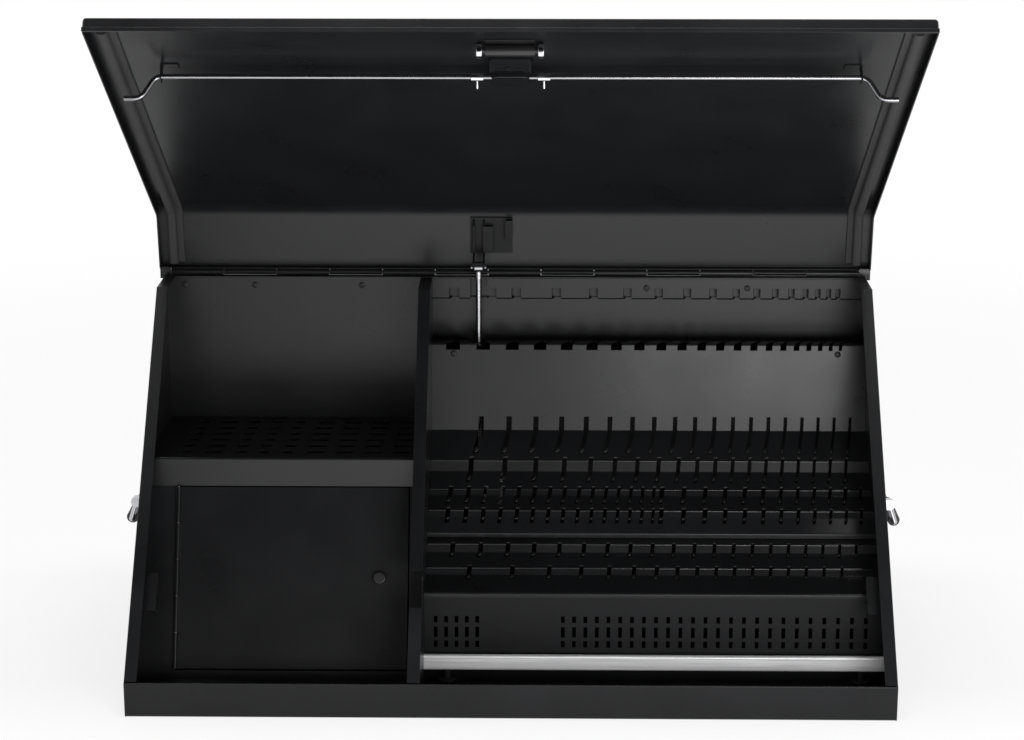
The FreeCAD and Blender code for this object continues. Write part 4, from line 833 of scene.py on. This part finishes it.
@dataclass
class LidSeal:
    """Bulb seal with a flat lip down each side of the lid."""

    lid: Lid
    outer_setback: float = 12.5 * MM
    bulb_width: float = 12.0 * MM
    bulb_depth: float = 11.4 * MM
    flat_width: float = 8.0 * MM
    flat_depth: float = 3.0 * MM
    sheet: float = 1.5 * MM
    run_in: float = 16.0 * MM
    rear_gap: float = 7.5 * MM
    bulb_power: float = 2.6
    bulb_turn: float = np.pi * 0.36
    bulb_end: float = np.pi * 0.9
    bulb_close: float = 0.98
    outer_steps: int = 22
    inner_steps: int = 14
    lip_corners: tuple[tuple[float, float], ...] = ((1.0, 1.0), (0.3, 0.75), (0.0, 0.4), (0.2, 0.0))

    def section(self) -> Array:
        """Outline of the seal as distance inward from its outer edge and depth from the skin.

        The bulb is a superellipse, |x|^power + |y|^power = 1, that sits on the flat; a small
        step leads down to the flat lip, whose corners are given as a distance in from its edge
        and a share of its depth.
        """
        t = np.linspace(-np.pi / 2, self.bulb_turn, self.outer_steps)
        u = np.linspace(self.bulb_turn, self.bulb_end, self.inner_steps)
        half, top = self.bulb_width / 2, self.bulb_depth / 2
        outer = np.stack([half - self.rounded(np.cos(t)) * half, top + self.rounded(np.sin(t)) * top], 1)
        inner = np.stack([half - self.rounded(np.cos(u)) * half, top + self.rounded(np.sin(u)) * top], 1)
        edge = self.bulb_width + self.flat_width
        corners = [[edge - back * MM, self.flat_depth * share] for back, share in self.lip_corners]
        lip = np.array([[self.bulb_width * self.bulb_close, self.flat_depth], *corners])
        return np.vstack([outer, inner, lip])

    def rounded(self, wave: Array) -> Array:
        """A sine or cosine raised to the superellipse's power, with its sign kept."""
        return np.sign(wave) * np.abs(wave) ** (2 / self.bulb_power)

    def build(self) -> None:
        """Make the two runs and hide the plain ones."""
        line, normal = self.lid.skin_line(self.run_in, self.rear_gap)
        section = self.section()
        for side in Side:
            start = self.lid.half_width - self.outer_setback
            x = side.value * (start - section[:, 0])
            depth = self.sheet + section[:, 1]
            yz = line[:, None] + normal[:, None] * depth[None, :, None]
            points = np.concatenate([np.broadcast_to(x, yz.shape[:2])[..., None], yz], axis=-1)
            caps = points[[0, -1]].mean(axis=1, keepdims=True)
            first = np.repeat(caps[:1], len(section), axis=1)
            last = np.repeat(caps[1:], len(section), axis=1)
            grid = np.concatenate([first, points, last])
            piece = Surface.grid(self.lid.opened(grid), wrap=True)
            made = piece.make("seal_" + side.word, RUBBER, Body.LID, Slot.RUBBER)
            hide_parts("lid_seal")


@dataclass(frozen=True)
class Row:
    """Row of slots whose spacing shrinks to the right, in millimetres."""

    left: float
    right: float
    count: int
    grade: float
    curve: float
    wide: float
    narrow: float

    def places(self, low: float, high: float) -> tuple[Array, Array]:
        """Place and width of each slot at its front end.

        The gaps between neighbours follow 1 + (grade - 1) * (1 - i / spans) ^ curve.

        Args:
            low: left end of the rack.
            high: right end of the rack.

        Returns:
            Places across the rack and the widths.
        """
        step = np.arange(self.count - 1)
        gaps = 1 + (self.grade - 1) * (1 - step / max(self.count - 2, 1)) ** self.curve
        run = np.concatenate([[0.0], np.cumsum(gaps)]) / gaps.sum()
        widths = np.linspace(self.wide, self.narrow, self.count)
        return low + self.left + run * (high - self.right - low - self.left), widths


@dataclass(frozen=True)
class SlotLine:
    """One row's slots: their front end and the pip at their low end, front-based, in millimetres."""

    row: Row
    front: float
    pip_y: float
    pip_z: float
    fall: float
    half_length: float = 5.5
    slant: float = 11.0

    def drift(self, y: float) -> float:
        """How far a slot has moved to the right by a depth."""
        return (y - self.front) * math.tan(math.radians(self.slant))


@dataclass
class SlotDetail:
    """Pressed pips at the low end of the rack slots and rolled beads along the noses."""

    rack_left: float = -107.0
    rack_right: float = 455.7
    half_depth: float = 212.5
    pip_height: float = 1.7
    lap: float = 0.3
    bead: float = 1.9
    bead_steps: int = 12
    rings: int = 7
    spokes: int = 8
    margin: float = 1.5
    inset: float = 1.2
    least: float = 3.0

    def pip(self, line: SlotLine, x: float, width: float) -> Surface:
        """One pip: an ellipsoid whose long axis follows the ledge and the slot's slant.

        Each point is centre + cos u * length * along + sin u * (cos v * half width * X
        + sin v * height * up), with u from pole to pole and v once round.
        """
        u = np.linspace(0.0, np.pi, self.rings)[:, None, None]
        v = np.linspace(0.0, 2 * np.pi, self.spokes, endpoint=False)[None, :, None]
        fall = math.atan(line.fall)
        along = np.array([math.tan(math.radians(line.slant)), math.cos(fall), math.sin(fall)])
        up = np.array([0.0, -math.sin(fall), math.cos(fall)])
        centre = np.array([x + line.drift(line.pip_y), line.pip_y - self.half_depth, line.pip_z])
        points = (centre + np.cos(u) * line.half_length * along
                  + np.sin(u) * (np.cos(v) * (width / 2 + self.lap) * np.array([1.0, 0.0, 0.0])
                                 + np.sin(v) * self.pip_height * up))
        return Surface.grid(points * MM, wrap=True)

    def pips(self, name: str, lines: tuple[SlotLine, ...]) -> None:
        """Make the pips of one rack as one piece."""
        parts = [self.pip(line, x, width) for line in lines
                 for x, width in zip(*line.row.places(self.rack_left, self.rack_right))]
        Surface.joined(parts).make(name, GLOSS, Body.CHEST, Slot.PAINT)

    def beads(self, name: str, noses: tuple[tuple[float, float, tuple[SlotLine, ...]], ...]) -> None:
        """Make the rounded front of each nose, in pieces that leave the slots open.

        Args:
            name: name of the piece.
            noses: depth and height of each nose, and the rows of slots that cross it.
        """
        parts = []
        section = ring_section(self.bead * MM, self.bead_steps)
        for y, z, lines in noses:
            found = [line.row.places(self.rack_left, self.rack_right) for line in lines]
            middle = np.concatenate([x + line.drift(y) for line, (x, _) in zip(lines, found)])
            half = np.concatenate([width / 2 for _, width in found])
            order = np.argsort(middle)
            starts = np.concatenate([[self.rack_left + self.margin], (middle + half)[order]])
            ends = np.concatenate([(middle - half)[order], [self.rack_right - self.margin]])
            for start, end in zip(starts, ends):
                if end - start > self.least:
                    place = (y + self.inset - self.half_depth, z - self.inset)
                    path = np.array([[start, *place], [end, *place]])
                    parts.append(swept(path * MM, section, (0.0, 0.0, 1.0)))
        Surface.joined(parts).make(name, GLOSS, Body.CHEST, Slot.PAINT)


RISER_ROW = Row(57.4, 26.5, 19, 1.77, 1.7, 7.0, 3.5)
STEP_ROW = Row(48.4, 32.9, 19, 2.13, 2.84, 6.5, 3.5)
THIRD_LEFT = Row(23.2, 280.3, 15, 1.6, 1.0, 6.0, 4.0)
THIRD_RIGHT = Row(292.5, 17.6, 12, 1.47, 1.48, 6.0, 3.5)
LOWER_ROW = Row(29.9, 28.8, 20, 1.7, 1.53, 6.0, 3.5)
LOWEST_ROW = Row(51.5, 50.4, 17, 2.43, 4.12, 6.0, 3.5)
SECOND_ROW = Row(27.0, 35.0, 21, 3.1, 1.15, 18.0, 4.0)
COMB_LINE = SlotLine(SECOND_ROW, 365.0, 397.0, 360.2, 0.0, 4.0, 20.0)
RISER_LINE = SlotLine(RISER_ROW, 321.0, 327.0, 234.8, 0.6)
STEP_LINE = SlotLine(STEP_ROW, 288.5, 298.5, 205.8, 0.41)
THIRD_LINES = (SlotLine(THIRD_LEFT, 255.5, 265.5, 186.6, 0.29),
               SlotLine(THIRD_RIGHT, 255.5, 265.5, 186.6, 0.29))
FOURTH_LINES = (SlotLine(THIRD_LEFT, 232.5, 239.5, 171.0, 0.25, 3.6),
                SlotLine(THIRD_RIGHT, 232.5, 239.5, 171.0, 0.25, 3.6))
LOWER_LINE = SlotLine(LOWER_ROW, 189.5, 198.0, 137.7, 0.26, 4.5)
LOWEST_LINE = SlotLine(LOWEST_ROW, 153.5, 162.5, 120.6, 0.25, 4.5)
UPPER_LINES = (COMB_LINE, RISER_LINE, STEP_LINE, *THIRD_LINES, *FOURTH_LINES)
LOWER_LINES = (LOWER_LINE, LOWEST_LINE)
UPPER_NOSES = ((311.0, 225.0, (STEP_LINE,)), (277.0, 197.0, THIRD_LINES), (243.0, 180.0, FOURTH_LINES))
LOWER_NOSES = ((203.0, 149.0, (LOWER_LINE,)), (168.0, 130.0, (LOWEST_LINE,)))


@dataclass
class Grip:
    """Moulded grip with ribs round the long side of a drop handle."""

    bore: float = 3.6 * MM
    rib_pitch: float = 5.0 * MM
    rib_depth: float = 0.7 * MM
    edge: float = 2.5 * MM
    rings: int = 121
    spokes: int = 40
    collar: float = 2.4
    edge_steps: int = 6

    def profile(self, radius: float, half: float) -> Array:
        """Closed outline of the grip as radii and heights.

        The outside follows radius - depth * (1 - |cos(pi h / pitch)|) ^ 2 between two plain
        collars, and each end is rounded by a quarter circle.
        """
        t = np.linspace(0, np.pi / 2, self.edge_steps)
        height = np.linspace(-half + self.edge, half - self.edge, self.rings)
        ribbed = np.clip((half - self.collar * self.edge - np.abs(height)) / self.edge, 0, 1)
        groove = (1 - np.abs(np.cos(np.pi * height / self.rib_pitch))) ** 2
        outer = np.stack([radius - self.rib_depth * groove * ribbed, height], 1)
        low = np.stack([radius - self.edge + self.edge * np.sin(t),
                        -half + self.edge - self.edge * np.cos(t)], 1)
        high = np.stack([low[::-1, 0], -low[::-1, 1]], 1)
        hole = np.array([[self.bore, half], [self.bore, -half]])
        outline = np.vstack([low, outer[1:-1], high, hole])
        return np.vstack([outline, outline[:1]])

    def build(self) -> None:
        """Make both grips where the plain ones are."""
        for side in Side:
            node = "handle_grip_" + side.word
            low, high = (np.array(v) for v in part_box(node))
            middle = (low + high) / 2
            profile = self.profile((high[2] - low[2]) / 2, (high[1] - low[1]) / 2)
            body = Body("bail_" + side.word)
            made = turned(profile, middle, np.array([0.0, 1.0, 0.0]), self.spokes).make(
                "ribbed_grip_" + side.word, GRIP, body, Slot.RUBBER)
            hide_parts(node)


@dataclass
class LatchRods:
    """Two round rods that run out from the latch and step up to the strikers in smooth bends."""

    lid: Lid
    radius: float = 3.0 * MM
    place: float = 117.0 * MM
    bend: float = 9.0 * MM
    steps: int = 14
    spokes: int = 20
    ends: tuple[tuple[float, float], ...] = ((15.5, 15.0), (401.6, 15.0), (416.4, 42.0), (435.6, 42.0))

    def line(self, sign: int) -> Array:
        """Centre line: straight runs with each corner cut by a parabola through its tangent points.

        Args:
            sign: minus one for the left rod, one for the right.

        Returns:
            Points of the open lid in metres.
        """
        corners = np.array(self.ends) * MM
        points = [corners[:1]]
        t = np.linspace(0.0, 1.0, self.steps)[:, None]
        for before, corner, after in zip(corners, corners[1:], corners[2:]):
            start = corner + (before - corner) / np.linalg.norm(before - corner) * self.bend
            stop = corner + (after - corner) / np.linalg.norm(after - corner) * self.bend
            points.append((1 - t) ** 2 * start + 2 * t * (1 - t) * corner + t ** 2 * stop)
        flat = np.vstack([*points, corners[-1:]])
        return self.lid.at(sign * flat[:, 0], self.place, flat[:, 1])

    def build(self) -> None:
        """Make both rods, flat-ended, in place of the plain ones."""
        for side in Side:
            path = self.line(side.value)
            rod = swept(path, ring_section(self.radius, self.spokes), self.lid.upward)
            made = rod.make("bent_rod_" + side.word, ROD_PLATE, Body("rod_" + side.word), Slot.CHROME)
            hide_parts("rod_" + side.word)


@dataclass(frozen=True)
class Block:
    """Ends of a block along X, Y and Z."""

    left: float
    right: float
    near: float
    far: float
    low: float
    high: float


@dataclass
class HingeShadeStrip:
    """Dark rounded strip along the back of the hinge's fixed leaf, put there as painted shade for the dark
    band at the hinge line, with a tab past each end.
    """

    strip: Block = Block(-450.0 * MM, 450.0 * MM, 213.6 * MM, 218.5 * MM, 437.0 * MM, 442.1 * MM)
    right_tab: Block = Block(450.2 * MM, 464.2 * MM, 212.5 * MM, 216.0 * MM, 437.0 * MM, 453.0 * MM)
    corner: float = 1.0 * MM
    corner_steps: int = 4

    def bar(self, block: Block) -> Surface:
        """Rectangle with rounded corners carried along X from one end of a block to the other."""
        t = np.linspace(0.0, np.pi / 2, self.corner_steps)
        wide, tall = (block.far - block.near) / 2, (block.high - block.low) / 2
        corners = []
        for quarter, (across_sign, up_sign) in enumerate(((1, 1), (-1, 1), (-1, -1), (1, -1))):
            angle = t + quarter * np.pi / 2
            corners.append(np.stack([across_sign * (wide - self.corner) + self.corner * np.cos(angle),
                                     up_sign * (tall - self.corner) + self.corner * np.sin(angle)], 1))
        middle = ((block.near + block.far) / 2, (block.low + block.high) / 2)
        path = np.array([[x, *middle] for x in (block.left, (block.left + block.right) / 2, block.right)])
        return swept(path, np.vstack(corners), (0.0, 0.0, 1.0))

    def build(self) -> None:
        """Make the strip and its two tabs as one piece."""
        left_tab = replace(self.right_tab, left=-self.right_tab.right, right=-self.right_tab.left)
        parts = [self.bar(block) for block in (self.strip, left_tab, self.right_tab)]
        # The strip and its tabs are painted shade: black pieces that darken the hinge line and its ends.
        Surface.joined(parts).make("hinge_shade_strip", PAINT, Body.CHEST, Slot.PAINT)


def main() -> None:
    """Build the scene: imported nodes, new pieces, studio."""
    logging.basicConfig(level=logging.INFO, format="%(name)s %(message)s")
    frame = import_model()
    bpy.context.scene.view_settings.view_transform = "Standard"
    hinge = next(j for j in frame["joints"] if j["name"] == "lid_hinge")
    lid = Lid(tuple(hinge["pos_m"]))
    Studio().build()
    SteelWork(frame).dress()
    LidSeal(lid).build()
    Screws().build()
    detail = SlotDetail()
    detail.pips("upper_slot_pips", UPPER_LINES)
    detail.pips("lower_slot_pips", LOWER_LINES)
    detail.beads("upper_nose_beads", UPPER_NOSES)
    detail.beads("lower_nose_beads", LOWER_NOSES)
    Grip().build()
    LatchRods(lid).build()
    HingeShadeStrip().build()


if __name__ == "__main__":
    main()
